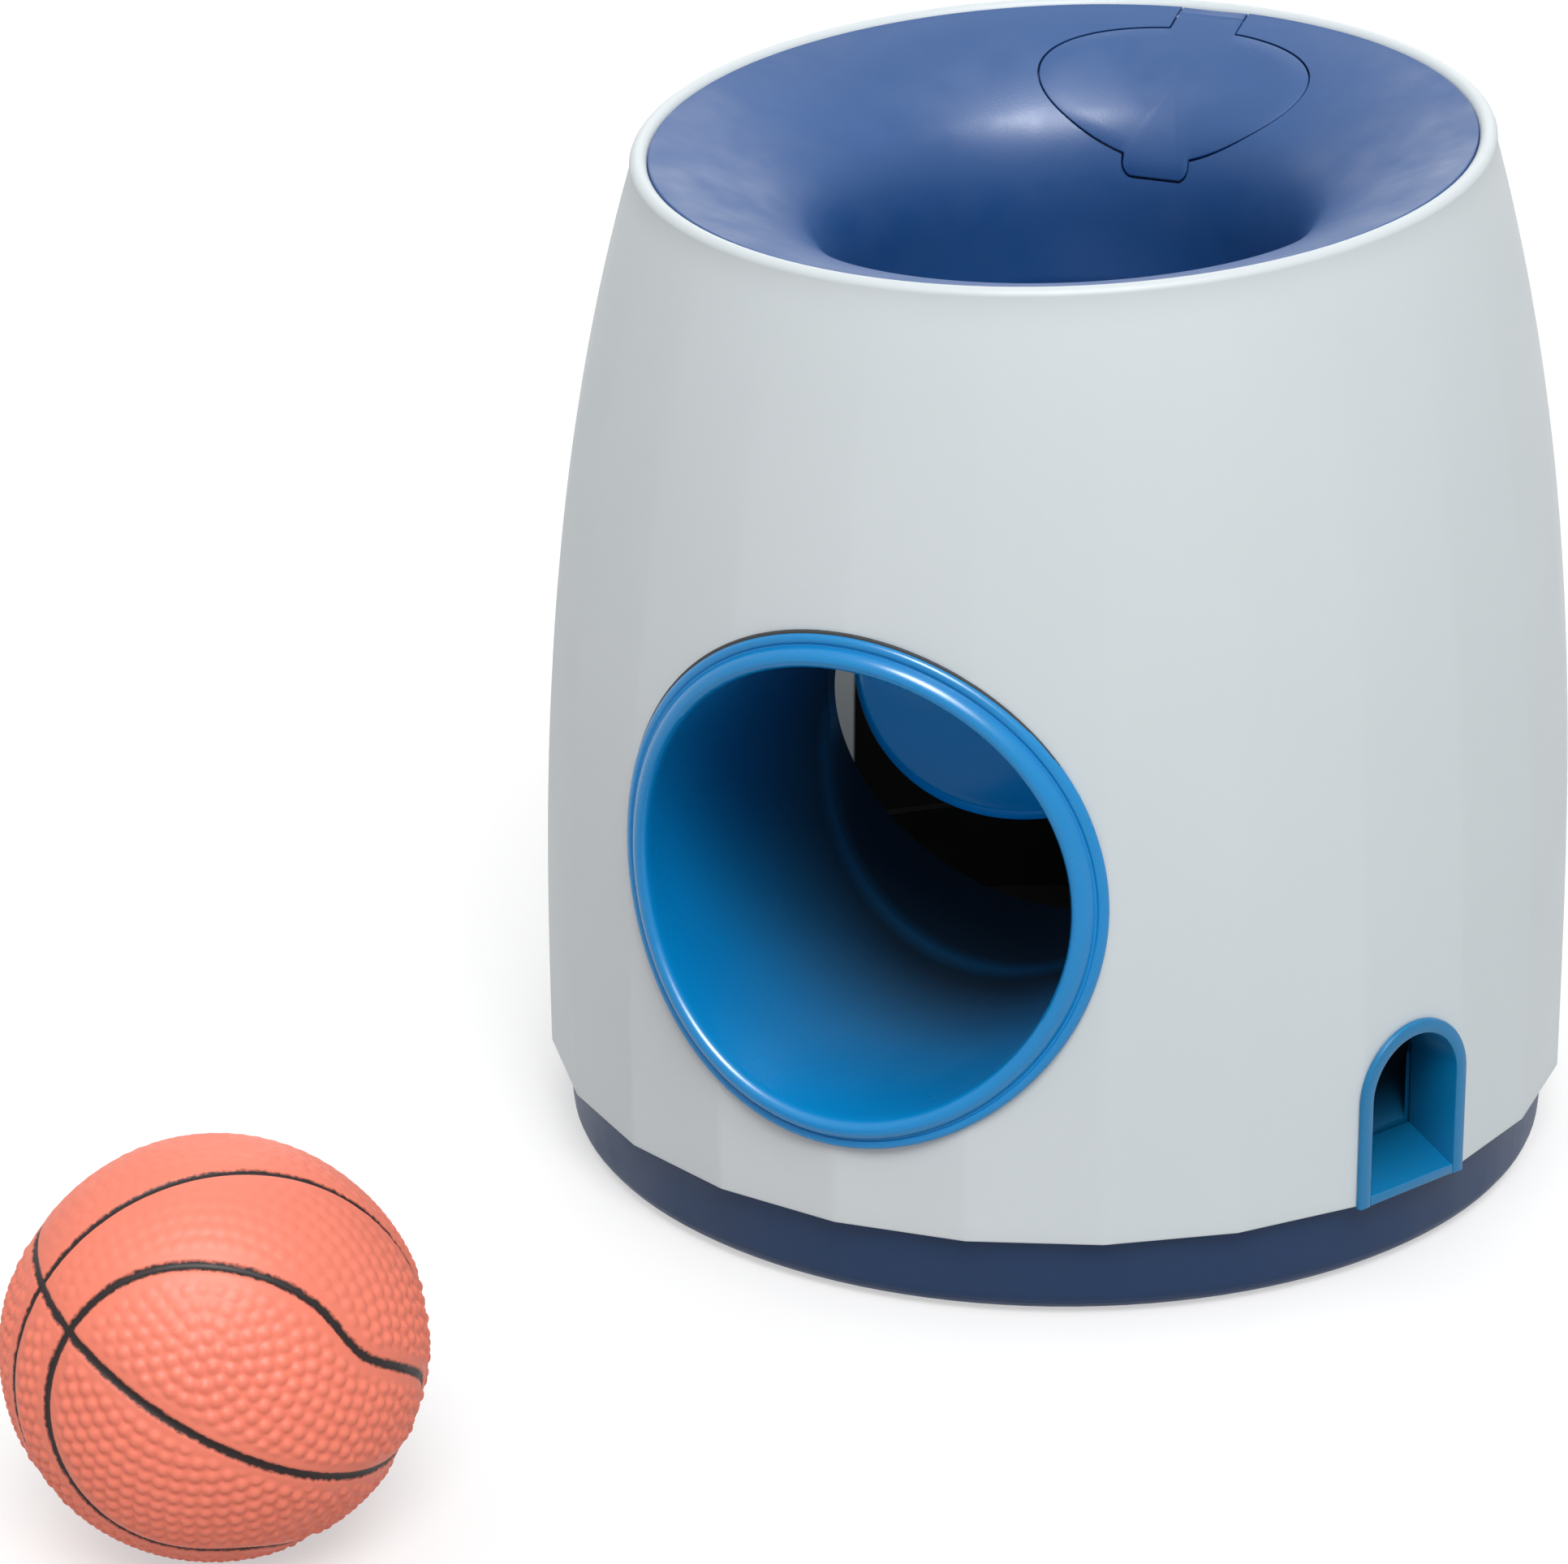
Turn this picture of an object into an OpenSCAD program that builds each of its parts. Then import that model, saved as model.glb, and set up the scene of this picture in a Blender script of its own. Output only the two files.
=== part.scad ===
// Treat dispensing ball toy: a ball dropped into the funnel tips a sprung dish,
// which shifts a dosing slide under the treat hopper, then rolls out of the tunnel.
// Millimetres. +Z up, origin at the middle of the grip ring's underside,
// -Y is the ball tunnel, +Y the treat lid.

/* [Housing] */
// Across the corners of the housing's lower edge
skirt_d = 170; // [164:1:190]
// Flat facets around the housing's lower edge
facet_n = 25; // [15:2:27]
// Height of the housing's lower edge
skirt_z = 14; // [12:0.5:18]
// Height of the middle of the slanted rim
rim_z = 166.7; // [160:0.5:190]
// Slant of the rim, rising to the back
rim_tilt = 5.09; // [0:0.5:8]
// How much the radius draws in from the lower edge to the rim
shoulder = 17.3; // [12:0.1:19]
// How late the side curves in: 2 is a plain arc, more is later
shoulder_power = 2.7; // [2:0.1:4]
// Wall of the housing
wall = 3; // [2:0.1:3.6]

/* [Base] */
// Radius of the base's side where it meets the housing
base_r = 82.3; // [81.8:0.1:83]
// Inward lean of the base's side from top to bottom
base_lean = 0.7; // [0:0.1:2]
// Rounding of the base's lower edge
base_round = 3; // [1:0.5:4]
// Height of the spigot that stands inside the housing
spigot_h = 6; // [3:0.5:9]
// Floor thickness of the base
base_floor = 3; // [2.6:0.1:4]
// Middle radius of the grip ring
grip_r = 60; // [50:1:64]
// Width of the grip ring
grip_w = 9; // [6:0.5:12]
// Height by which the grip ring stands below the base
grip_stand = 0.6; // [0.3:0.1:1]
// Depth of the grip ring's groove
grip_depth = 1.4; // [1:0.1:1.8]

/* [Funnel] */
// Diameter of the funnel's edge
funnel_d = 131; // [126:0.5:132]
// Radius of the ball throat
throat_r = 36.5; // [33:0.5:38]
// Depth of the throat below the rim
throat_depth = 40; // [34:0.5:44]
// Straight fall of the horn, height over radius
horn_slope = 0.25; // [0.1:0.05:0.35]
// Further fall of the horn's curve
horn_drop = 12.5; // [8:0.5:14]
// Wall of the funnel
funnel_wall = 3.2; // [2.8:0.1:3.6]

/* [Treat lid] */
// Half width of the lid
lid_a = 23.3; // [18:0.1:25]
// Half length of the lid, up the slope
lid_b = 12.8; // [10:0.1:13.5]
// Distance of the lid's middle from the funnel's edge
lid_in = 17.15; // [16.5:0.05:18.5]
// Lid thickness
lid_t = 1.7; // [1.3:0.1:2]
// Gap around the lid and under it
lid_gap = 0.45; // [0.4:0.05:0.6]
// Width of both lid tabs
tab_w = 11; // [8:0.5:14]
// Length of the finger tab
finger_tab = 3.2; // [2:0.1:4]
// Diameter of the lid's hinge pin
lid_pin_d = 1.4; // [1:0.1:1.4]
// Distance of the hinge pin from the funnel's edge
lid_pin_in = 2; // [1.9:0.05:2.4]

/* [Ball tunnel] */
// Height of the tunnel's axis
tunnel_z = 68.7; // [64:0.5:72]
// Outer radius of the rolled lip
tunnel_lip_r = 40.9; // [39.8:0.1:43]
// Bore radius at the mouth
tunnel_bore_r = 35.8; // [34:0.1:36.2]
// Bore radius at the inner end
tunnel_end_r = 33; // [31.5:0.1:34]
// Wall of the tunnel
tunnel_wall = 2.2; // [1.6:0.1:2.6]
// Place of the inner end at the tunnel's floor
tunnel_end_y = -3; // [-10:0.5:0]
// Slant of the inner end, length over height
tunnel_slant = 0.33; // [0.2:0.01:0.4]
// How far the lip stands proud of the housing
lip_proud = 2.3; // [1.5:0.1:3]

/* [Treat spout] */
// Bearing of the spout from the front, taken to the middle of the nearest facet
spout_bearing = 65; // [60:1:75]
// Overall width of the spout's flange
spout_w = 22.6; // [20:0.1:23]
// Overall height of the spout's flange
spout_h = 29; // [26:0.5:32]
// Width of the spout's flange beside the opening
spout_edge = 2.3; // [1.8:0.1:3]
// How far the flange stands proud of the facet
spout_proud = 0.9; // [0.5:0.1:1.5]
// Depth of the spout behind the facet
spout_depth = 9; // [8:0.5:10]

/* [Paddle] */
// Radius of the dish
dish_r = 32; // [28:0.5:33]
// Depth of the dish
dish_depth = 9; // [6:0.5:10]
// Wall of the dish
dish_wall = 2; // [1.5:0.1:2.5]
// Slope of the dish at rest
dish_slope = 48; // [44:1:52]
// Axle place from the middle, towards the back
axle_y = 40; // [39.5:0.1:40.5]
// Axle height
axle_z = 106; // [105:0.5:107]
// Axle diameter
axle_d = 5; // [4:0.1:5.4]
// Swing of the paddle
swing = 26; // [20:1:26]
// Lever from axle to drive pin
lever = 26; // [25:0.1:26.5]
// Diameter of the drive pin
drive_pin_d = 4; // [3:0.1:4.5]
// Radial clearance of turning fits
fit_gap = 0.05; // [0.02:0.01:0.09]

/* [Hopper] */
// Half width of the hopper
hopper_a = 24; // [20:0.5:25]
// Wall of the hopper
hopper_wall = 2; // [1.5:0.1:2.5]
// Front face of the hopper
hopper_y = 46.5; // [46.2:0.1:47]
// Length of the treat pocket
pocket_l = 9; // [7:0.5:10]
// Half width of the treat pocket
pocket_a = 9; // [7:0.5:10]
// Thickness of the dosing slide
slide_t = 8; // [7:0.5:8.5]

/* [Screws] */
// Screw shank diameter
screw_d = 3; // [2.5:0.1:3.2]
// Screw head diameter
screw_head_d = 6; // [5:0.1:6.2]

/* [Ball] */
// Ball diameter
ball_d = 61; // [54:0.5:64]
// Wall of the ball
ball_wall = 2.5; // [2:0.1:4]
// Place of the loose ball on the floor
ball_x = -48.8; // [-60:0.1:60]
// Distance of the loose ball in front of the middle
ball_y = -184.8; // [-220:0.1:-140]

/* [Hidden] */
$fn = 96;
eps = 0.01;
seat_gap = 0.3;

// Colours
pale = [0.82, 0.84, 0.86];
navy = [0.12, 0.21, 0.42];
funnel_blue = [0.17, 0.27, 0.52];
bright_blue = [0.03, 0.42, 0.72];
steel = [0.7, 0.71, 0.73];
black = [0.12, 0.12, 0.13];

// Housing surface
skirt_r = skirt_d / 2;
facet_a = 360 / facet_n;
facet_split = 3;
columns = facet_n * facet_split;
rim_r = funnel_d / 2;
barrel_h = rim_z - skirt_z;
lip_low = 2.2;
lip_high = 0.6;
rebate = 2.6;
ledge_w = 3;
ledge_t = 2.6;
function barrel_u(z) = max(0, min(1, (z - skirt_z) / (barrel_h - lip_low)));
function barrel_r(z) = skirt_r - shoulder * pow(max(0, z - skirt_z) / barrel_h, shoulder_power);
function facet_k(a, w) = 1 - w * (1 - cos(facet_a / 2) / cos(a - facet_a * floor(a / facet_a) - facet_a / 2));
function tilted(p, t, z) = [p[0], p[1] * cos(t) - p[2] * sin(t), z + p[1] * sin(t) + p[2] * cos(t)];
function ring(r, h, z, t, w) = [for (j = [0:columns - 1])
    let (a = j * 360 / columns, k = r * facet_k(a, w)) tilted([k * sin(a), -k * cos(a), h], t, z)];
function side_ring(z, inset) = let (u = barrel_u(z))
    ring(barrel_r(z) - inset / cos(facet_a / 2), 0, z, rim_tilt * u, 1 - u);
function rim_ring(r, h) = ring(r, h, rim_z, rim_tilt, 0);
// Distance of the round housing surface in front of the XZ plane, at a place of the front view
function front_z(x, z, n) = n == 0 ? z :
    let (c = front_z(x, z, n - 1)) z + sqrt(pow(barrel_r(c), 2) - x * x) * tan(rim_tilt * barrel_u(c));
function front_y(x, z) = sqrt(pow(barrel_r(front_z(x, z, 4)), 2) - x * x);
// Faces of a closed band of rings, each of m points
function band(n, m, close) = [for (i = [0:n - (close ? 1 : 2)]) for (j = [0:m - 1])
    let (k = (j + 1) % m, next = ((i + 1) % n) * m, a = i * m + j, b = i * m + k, c = next + j, d = next + k)
    each [[a, c, d], [a, d, b]]];
function flat(rings) = [for (r = rings) each r];

// Spigot of the base, inside the housing's flats
spigot_wall = 2.4;
spigot_r = skirt_r * cos(facet_a / 2) - wall - seat_gap;
spigot_in = spigot_r - spigot_wall;

// Funnel
funnel_gap = 0.1;
horn_r = rim_r - funnel_gap;
horn_w = horn_r - throat_r;
horn_step = 7.5;
function horn_p(q, t) = let (r = horn_r - horn_w * sin(q),
    h = -horn_slope * (horn_r - r) - horn_drop * (1 - cos(q)),
    normal = [horn_slope * horn_w * cos(q) + horn_drop * sin(q), -horn_w * cos(q)])
    [r, h] + t * normal / norm(normal);
function horn_at(r) = horn_p(asin((horn_r - r) / horn_w), 0)[1];
function horn_line(t, q0) = concat([for (q = [q0:horn_step:90]) horn_p(q, t)],
    [[throat_r + t, -throat_depth]]);
function reversed(v) = [for (i = [len(v) - 1:-1:0]) v[i]];
flange_in = rim_r - ledge_w - 0.4;
under_q = 15;
flange_low = horn_p(under_q, funnel_wall)[1];

// Lid, on a plane laid along the horn
lid_y = rim_r - lid_in;
lid_lean = 33.5;
lid_sink = 1.5;
lid_h = horn_at(lid_y) - lid_sink;
lid_ledge = 2.2;
lid_lip_t = 0.6;
lid_step = 1;
lid_reach = 20;
lid_steps = 40;
hinge_gap = lid_gap + 0.15;
lid_pin_y = rim_r - lid_pin_in;
lid_pin_h = horn_at(lid_pin_y) - 1.2;
lid_pin_side = 4;
lid_pin_l = tab_w + 2 * lid_pin_side;
knuckle_r = lid_pin_d / 2 + 0.6;
tab_end_y = lid_pin_y + knuckle_r / 2;
lid_edge_r = lid_pin_y - lid_y - lid_b * cos(lid_lean);

// Tunnel
saddle_y = [-56, -36];
saddle_a = 24;
saddle_t = 4;
saddle_gap = 0.1;
tunnel_columns = 72;
tunnel_fold_y = -30;
tunnel_fold_r = 35;
lip_float = 0.3;
tunnel_hole_r = tunnel_bore_r + tunnel_wall + 0.4;

// Spout
spout_az = (round(spout_bearing / facet_a - 0.5) + 0.5) * facet_a;
spout_apothem = skirt_r * cos(facet_a / 2);
spout_step = 0.8;
spout_gap = 0.2;
spout_lift = 0.15;
spout_tube_w = spout_w - 2 * spout_step;
spout_tube_h = spout_h - spout_step;
spout_floor = 1.6;
spout_sill = 0.6;
spout_rise = 6.2;
spout_run = spout_depth + 5;

// Paddle and its drive
half_swing = swing / 2;
pin_rest = [axle_y - lever * sin(half_swing), axle_z - lever * cos(half_swing)];
stroke = 2 * lever * sin(half_swing);
dish_reach = 23.8;
dish_lift = 3.6;
dish_edge = [axle_y - dish_reach, axle_z + dish_lift];
dish_mid = dish_edge - dish_r * [cos(dish_slope), sin(dish_slope)];
dish_ball_r = (dish_r * dish_r + dish_depth * dish_depth) / (2 * dish_depth);
dish_arc = asin(dish_r / dish_ball_r);
bowl_mid = dish_mid + (dish_ball_r - dish_depth) * [-sin(dish_slope), cos(dish_slope)];
dish_steps = 8;
hub_r = 5;
hub_left = -21;
hub_right = 33;
lever_x = 27;
lever_t = 3;
lever_w = 6;
ear_x = 36;
ear_t = 3.5;
bush_wall = 1.5;
bush_flange = 1;
bush_r = axle_d / 2 + fit_gap + bush_wall;
clip_t = 0.8;
clip_gap = 0.3;
groove_deep = 0.5;
axle_end = ear_x + ear_t + 2.6;
web_a = 10;
web_t = 3;
web_bite = 1.4;
web_end = bowl_mid[0] + sqrt(pow(dish_ball_r + dish_wall, 2) - pow(axle_z - bowl_mid[1], 2)) - web_bite;
tail_h = 12;
tail_a = 6;
tail_back = 3.5;
stop_gap = 0.2;
stop_r = 4;

// Dosing
slide_top = pin_rest[1] - 0.7;
slide_z = slide_top - slide_t;
bed_t = 3;
bed_z = slide_z - bed_t;
outlet_y = 51;
drop_gap = 0.5;
plate_z = slide_top + seat_gap;
plate_t = 2.7;
plate_a = 20;
plate_y = 45;
plate_back = 75;
rail_x = pocket_a + 3 + seat_gap;
slide_a = pocket_a + 3;
slide_front = outlet_y - stroke - 1.5;
slide_back = outlet_y + pocket_l + 3;
arm_l = 7;
arm_t = 4.5;
lug_x = lever_x + lever_t + 1;
lug_t = 3.5;
lug_w = 8.5;
slot_gap = 0.15;
right_rail_y = slide_front + arm_l + stroke + 2.5;

// Hopper: a bin over the pocket, with a neck that rises to the lid's opening
bin_low = 97;
bin_high = 115;
bin_back = 71;
neck_low = rim_z - 14.7;
neck_back = 62;
neck_front = 40.5;
neck_front_low = rim_z - 18.7;
neck_step = rim_z - 10.7;
neck_deep = 20;
neck_r = rim_r - ledge_w - 0.9;
front_bend = rim_z - 36.7;
shed = 0.5;
ear_z = 9;
ear_plate_h = 27;
ear_plate_t = 2.5;
tab_z = rim_z - 23.7;
tab_t = 3;
tab_y = 52;
tab_x = 31;
tab_half = 5;
boss_r = 4;
boss_reach = 60;

// Screws
head_t = 1.4;
screw_gap = 0.2;
boss_gap = 1.13;
tray_wall = 3.6;
base_boss_r = min(spigot_in, base_r - tray_wall) - boss_r - boss_gap;
base_boss_top = 40;
base_boss_az = [40, -45, -120, 165];
base_screw_l = 13.7;
hopper_screw_l = 11;
base_bottom = grip_stand;
base_top = base_bottom + base_floor;
bed_screw_at = [[16.2, 66], [-16.2, 66], [-16.2, 49]];

// Chute: floor middle, heading from the front and wall height at each station
chute_a = 10;
chute_wall = 1.6;
chute_end_r = spout_apothem - spout_depth - 0.5;
chute_end_z = skirt_z + spout_rise;
chute_route = [[-14, 66, 64.3, 90, 2.7], [-2, 66, 61.5, 90, 3.5], [22, 61, 56, 66, 4], [34, 53, 52, 48, 11],
    [50, 34, 44, 28, 13], [57.5, 12, 36, 16, 13], [61, -12, 27.5, 26, 13],
    [chute_end_r * sin(spout_az), -chute_end_r * cos(spout_az), chute_end_z, spout_az, 11]];
chute_legs = [4, 6];
chute_leg_r = 3;

// Spring
spring_wire = 1.2;
spring_gap = 0.4;
spring_r = axle_d / 2 + spring_gap + spring_wire / 2;
spring_turns = 5.25;
spring_pitch = 1.9;
spring_x = -33.5;
spring_leg = 11;
spring_sides = 6;

module rim_frame() {
    translate([0, 0, rim_z]) rotate([rim_tilt, 0, 0]) children();
}

module at_azimuth(a, r, z) {
    rotate([0, 0, a]) translate([0, -r, z]) children();
}

module across_x(x, y, z, l, r) {
    translate([x, y, z]) rotate([0, 90, 0]) cylinder(r = r, h = l);
}

module screw(l) {
    rotate_extrude() {
        square([screw_head_d / 2, head_t]);
        square([screw_d / 2, head_t + l]);
    }
}

// An arch standing on z = 0, made along Y
module arch(w, h, l) {
    rotate([90, 0, 0]) linear_extrude(l) {
        translate([-w / 2, 0]) square([w, h - w / 2]);
        translate([0, h - w / 2]) circle(d = w);
    }
}

module housing_shell() {
    outer_n = 13;
    inner_n = 9;
    lip_top_r = barrel_r(rim_z - lip_low);
    lip_mid = (lip_top_r + rim_r) / 2;
    lip_half = (lip_top_r - rim_r) / 2;
    inner_top = rim_z - rebate - ledge_t - 5;
    outer = [for (i = [0:outer_n - 1]) side_ring(skirt_z + (barrel_h - lip_low) * i / (outer_n - 1), 0)];
    lip = [for (q = [30:30:180])
        rim_ring(lip_mid + lip_half * cos(q), lip_high - lip_half + lip_half * sin(q))];
    ledge = [rim_ring(rim_r, -rebate), rim_ring(rim_r - ledge_w, -rebate),
        rim_ring(rim_r - ledge_w, -rebate - ledge_t)];
    inner = [for (i = [0:inner_n - 1])
        side_ring(inner_top - (inner_top - skirt_z) * i / (inner_n - 1), wall)];
    rings = concat(outer, lip, ledge, inner);
    color(pale) difference() {
        union() {
            polyhedron(flat(rings), band(len(rings), columns, true), convexity = 8);
            for (a = base_boss_az) housing_boss(a);
        }
        translate([0, 0, tunnel_z]) rotate([90, 0, 0]) cylinder(r = tunnel_hole_r, h = skirt_d);
        at_azimuth(spout_az, skirt_r - wall - 6, skirt_z - eps)
            arch(spout_tube_w + 2 * spout_gap, spout_tube_h + spout_gap, wall + 12);
        for (a = base_boss_az) at_azimuth(a, base_boss_r, base_top)
            cylinder(d = screw_d, h = base_screw_l + 1);
        rim_frame() hinge_notch(knuckle_r + lid_gap, knuckle_r + lid_gap);
    }
}

module housing_boss(a) {
    rib_low = skirt_z + spigot_h + 2;
    at_azimuth(a, base_boss_r, base_top) cylinder(r = boss_r, h = base_boss_top - base_top);
    at_azimuth(a, skirt_r - wall / 2, rib_low)
        translate([-1.5, 0, 0]) cube([3, skirt_r - wall / 2 - base_boss_r, base_boss_top - rib_low]);
}

module base_tray() {
    foot_r = base_r - base_lean;
    spigot_top = skirt_z + spigot_h;
    round_pts = [for (q = [-90:15:0])
        [foot_r - base_round + base_round * cos(q), base_bottom + base_round + base_round * sin(q)]];
    color(navy) difference() {
        union() {
            rotate_extrude() polygon(concat([[0, base_bottom]], round_pts,
                [[base_r, skirt_z], [spigot_r, skirt_z], [spigot_r, spigot_top]],
                [[spigot_in, spigot_top], [spigot_in, base_top], [0, base_top]]));
            for (y = saddle_y) tunnel_saddle(y);
        }
        grip_solid();
        for (a = base_boss_az) at_azimuth(a, base_boss_r, 0) {
            cylinder(d = screw_d + 2 * screw_gap, h = base_top + 1);
            cylinder(d = screw_head_d + 2 * screw_gap, h = base_bottom + 0.3 + head_t);
        }
        at_azimuth(spout_az, skirt_r - wall - 8, skirt_z - eps) arch(spout_w + 1, spout_h, wall + 12);
    }
}

// A rib that carries the tunnel from below
module tunnel_saddle(y) {
    top = tunnel_z - saddle_a;
    seat_r = tunnel_bore_r + tunnel_wall + saddle_gap;
    difference() {
        translate([-saddle_a, y - saddle_t / 2, base_top - eps])
            cube([2 * saddle_a, saddle_t, top - base_top]);
        translate([0, y + saddle_t, tunnel_z]) rotate([90, 0, 0]) cylinder(r = seat_r, h = 2 * saddle_t);
    }
}

module grip_solid() {
    rotate_extrude() translate([grip_r - grip_w / 2, 0]) square([grip_w, grip_stand + grip_depth]);
}

module grip_ring() {
    color(black) grip_solid();
}

module base_screws() {
    color(steel) for (a = base_boss_az) at_azimuth(a, base_boss_r, base_bottom + 0.3) screw(base_screw_l);
}

// A layer of the horn between two depths under its surface
module horn_layer(t0, t1, q0) {
    rotate_extrude() polygon(concat(horn_line(t0, q0), reversed(horn_line(t1, q0))));
}

// The lid's outline, grown by g, as a bar along its own normal
module lid_bar(g, finger) {
    translate([0, lid_y, lid_h]) rotate([lid_lean, 0, 0])
        translate([0, 0, -lid_reach]) linear_extrude(2 * lid_reach) {
        polygon([for (i = [0:lid_steps - 1])
            let (a = i * 360 / lid_steps) [(lid_a + g) * cos(a), (lid_b + g) * sin(a)]]);
        if (finger) translate([-tab_w / 2 - g, -lid_b - finger_tab - g]) square([tab_w + 2 * g, lid_b]);
    }
}

// The hinge tab as an upright bar from the lid's middle to y
module tab_bar(g, y) {
    translate([-tab_w / 2 - g, lid_y, -lid_reach]) cube([tab_w + 2 * g, y - lid_y, 2 * lid_reach]);
}

// Room round the lid's knuckle, open to the top and, by back, behind the pin
module hinge_notch(r, back) {
    w = tab_w + 2 * hinge_gap;
    translate([-w / 2, lid_pin_y - r, lid_pin_h]) cube([w, r + back, lid_reach]);
    translate([-w / 2, lid_pin_y, lid_pin_h - r]) cube([w, back, r + eps]);
    across_x(-w / 2, lid_pin_y, lid_pin_h, w, r);
}

module funnel_top() {
    color(funnel_blue) rim_frame() difference() {
        union() {
            rotate_extrude() polygon(concat(horn_line(0, 0), reversed(horn_line(funnel_wall, under_q)),
                [[flange_in, flange_low], [flange_in, -rebate], [horn_r, -rebate]]));
            for (s = [-1, 1]) funnel_boss(s);
        }
        intersection() {
            union() {
                lid_bar(lid_gap, true);
                tab_bar(lid_gap + eps, lid_pin_y);
            }
            horn_layer(-2, lid_t + lid_gap, 0);
        }
        lid_bar(-lid_ledge, false);
        hinge_notch(knuckle_r + hinge_gap, lid_pin_in + 1);
        across_x(-lid_pin_l / 2, lid_pin_y, lid_pin_h, lid_pin_l, lid_pin_d / 2);
        for (s = [-1, 1]) hopper_screw_at(s) translate([0, 0, head_t + tab_t - eps])
            cylinder(d = screw_d, h = hopper_screw_l);
    }
}

// Place of a hopper screw, seen from the funnel's slanted frame
module hopper_screw_at(s) {
    rotate([-rim_tilt, 0, 0]) translate([s * tab_x, tab_y, tab_z - head_t - rim_z]) children();
}

module funnel_boss(s) {
    intersection() {
        hopper_screw_at(s) translate([0, 0, head_t + tab_t]) cylinder(r = boss_r, h = boss_reach);
        rotate_extrude() polygon(concat(horn_line(funnel_wall / 2, under_q),
            [[throat_r, -boss_reach], [rim_r, -boss_reach]]));
    }
}

// A layer of the lid of thickness t, its outline grown by g and kept clear of the pin
module lid_plate(g, t) {
    intersection() {
        difference() {
            lid_bar(g, true);
            across_x(-lid_a, lid_pin_y, lid_pin_h, 2 * lid_a, lid_edge_r);
        }
        horn_layer(0, t, 0);
    }
}

// The lid's edge is thinner than its middle, so that it swings up clear of its pocket
module treat_lid() {
    color(funnel_blue) rim_frame() difference() {
        union() {
            lid_plate(0, lid_lip_t);
            lid_plate(-lid_step, lid_t);
            intersection() {
                tab_bar(0, tab_end_y);
                horn_layer(0, lid_t, 0);
            }
            across_x(-tab_w / 2, lid_pin_y, lid_pin_h, tab_w, knuckle_r);
        }
        across_x(-tab_w, lid_pin_y, lid_pin_h, 2 * tab_w, lid_pin_d / 2 + fit_gap);
    }
}

module lid_hinge_pin() {
    color(steel) rim_frame() across_x(-lid_pin_l / 2, lid_pin_y, lid_pin_h, lid_pin_l, lid_pin_d / 2);
}

// A point of the tunnel: radius and depth h in front of the housing's surface, at an angle round the axis
function mouth_p(r, h, a) = let (x = r * cos(a), z = tunnel_z + r * sin(a)) [x, -front_y(x, z) - h, z];
function bore_p(r, y, a) = [r * cos(a), y, tunnel_z + r * sin(a)];
function end_p(r, a) =
    bore_p(r, tunnel_end_y - tunnel_slant * (r * sin(a) + tunnel_bore_r), a);

module ball_tunnel() {
    lip_in = tunnel_bore_r;
    lip_mid = (lip_in + tunnel_lip_r) / 2;
    lip_half = (tunnel_lip_r - lip_in) / 2;
    out_r = tunnel_bore_r + tunnel_wall;
    angles = [for (i = [0:tunnel_columns - 1]) i * 360 / tunnel_columns];
    bead = [for (q = [165:-25:15]) [for (a = angles)
        mouth_p(lip_mid + lip_half * cos(q), lip_float + lip_proud * sin(q), a)]];
    rings = concat(
        [[for (a = angles) end_p(tunnel_end_r, a)]],
        [[for (a = angles) bore_p(tunnel_fold_r, tunnel_fold_y, a)]],
        [[for (a = angles) mouth_p(lip_in, -3, a)]],
        bead,
        [[for (a = angles) mouth_p(tunnel_lip_r, lip_float, a)]],
        [[for (a = angles) mouth_p(out_r, lip_float, a)]],
        [[for (a = angles) mouth_p(out_r, -3, a)]],
        [[for (a = angles) bore_p(tunnel_fold_r + tunnel_wall, tunnel_fold_y, a)]],
        [[for (a = angles) end_p(tunnel_end_r + tunnel_wall, a)]]);
    faces = [for (f = band(len(rings), tunnel_columns, true)) reversed(f)];
    color(bright_blue) polyhedron(flat(rings), faces, convexity = 8);
}

module treat_spout() {
    in_w = spout_w - 2 * spout_edge;
    in_h = spout_h - spout_edge - spout_floor;
    color(bright_blue) difference() {
        union() {
            at_azimuth(spout_az, spout_apothem - spout_depth, skirt_z)
                arch(spout_tube_w, spout_tube_h, spout_depth + spout_proud);
            at_azimuth(spout_az, spout_apothem + spout_lift, skirt_z) arch(spout_w, spout_h, spout_proud);
        }
        difference() {
            at_azimuth(spout_az, spout_apothem - spout_depth - 1, skirt_z + spout_floor)
                arch(in_w, in_h, spout_depth + 4);
            at_azimuth(spout_az, spout_apothem - spout_depth - 2, skirt_z)
                rotate([90, 0, 90]) translate([0, 0, -spout_w / 2]) linear_extrude(spout_w)
                polygon([[0, 0], [-spout_run, 0], [-spout_run, spout_sill], [0, spout_rise]]);
        }
    }
}

// U-shaped section of the chute at a station of its route
function chute_ring(s) = let (o = chute_a, i = chute_a - chute_wall, h = s[4])
    [for (p = [[-o, -chute_wall], [o, -chute_wall], [o, h], [i, h], [i, 0], [-i, 0], [-i, h], [-o, h]])
        [s[0] + p[0] * cos(s[3]), s[1] + p[0] * sin(s[3]), s[2] + p[1]]];

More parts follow.
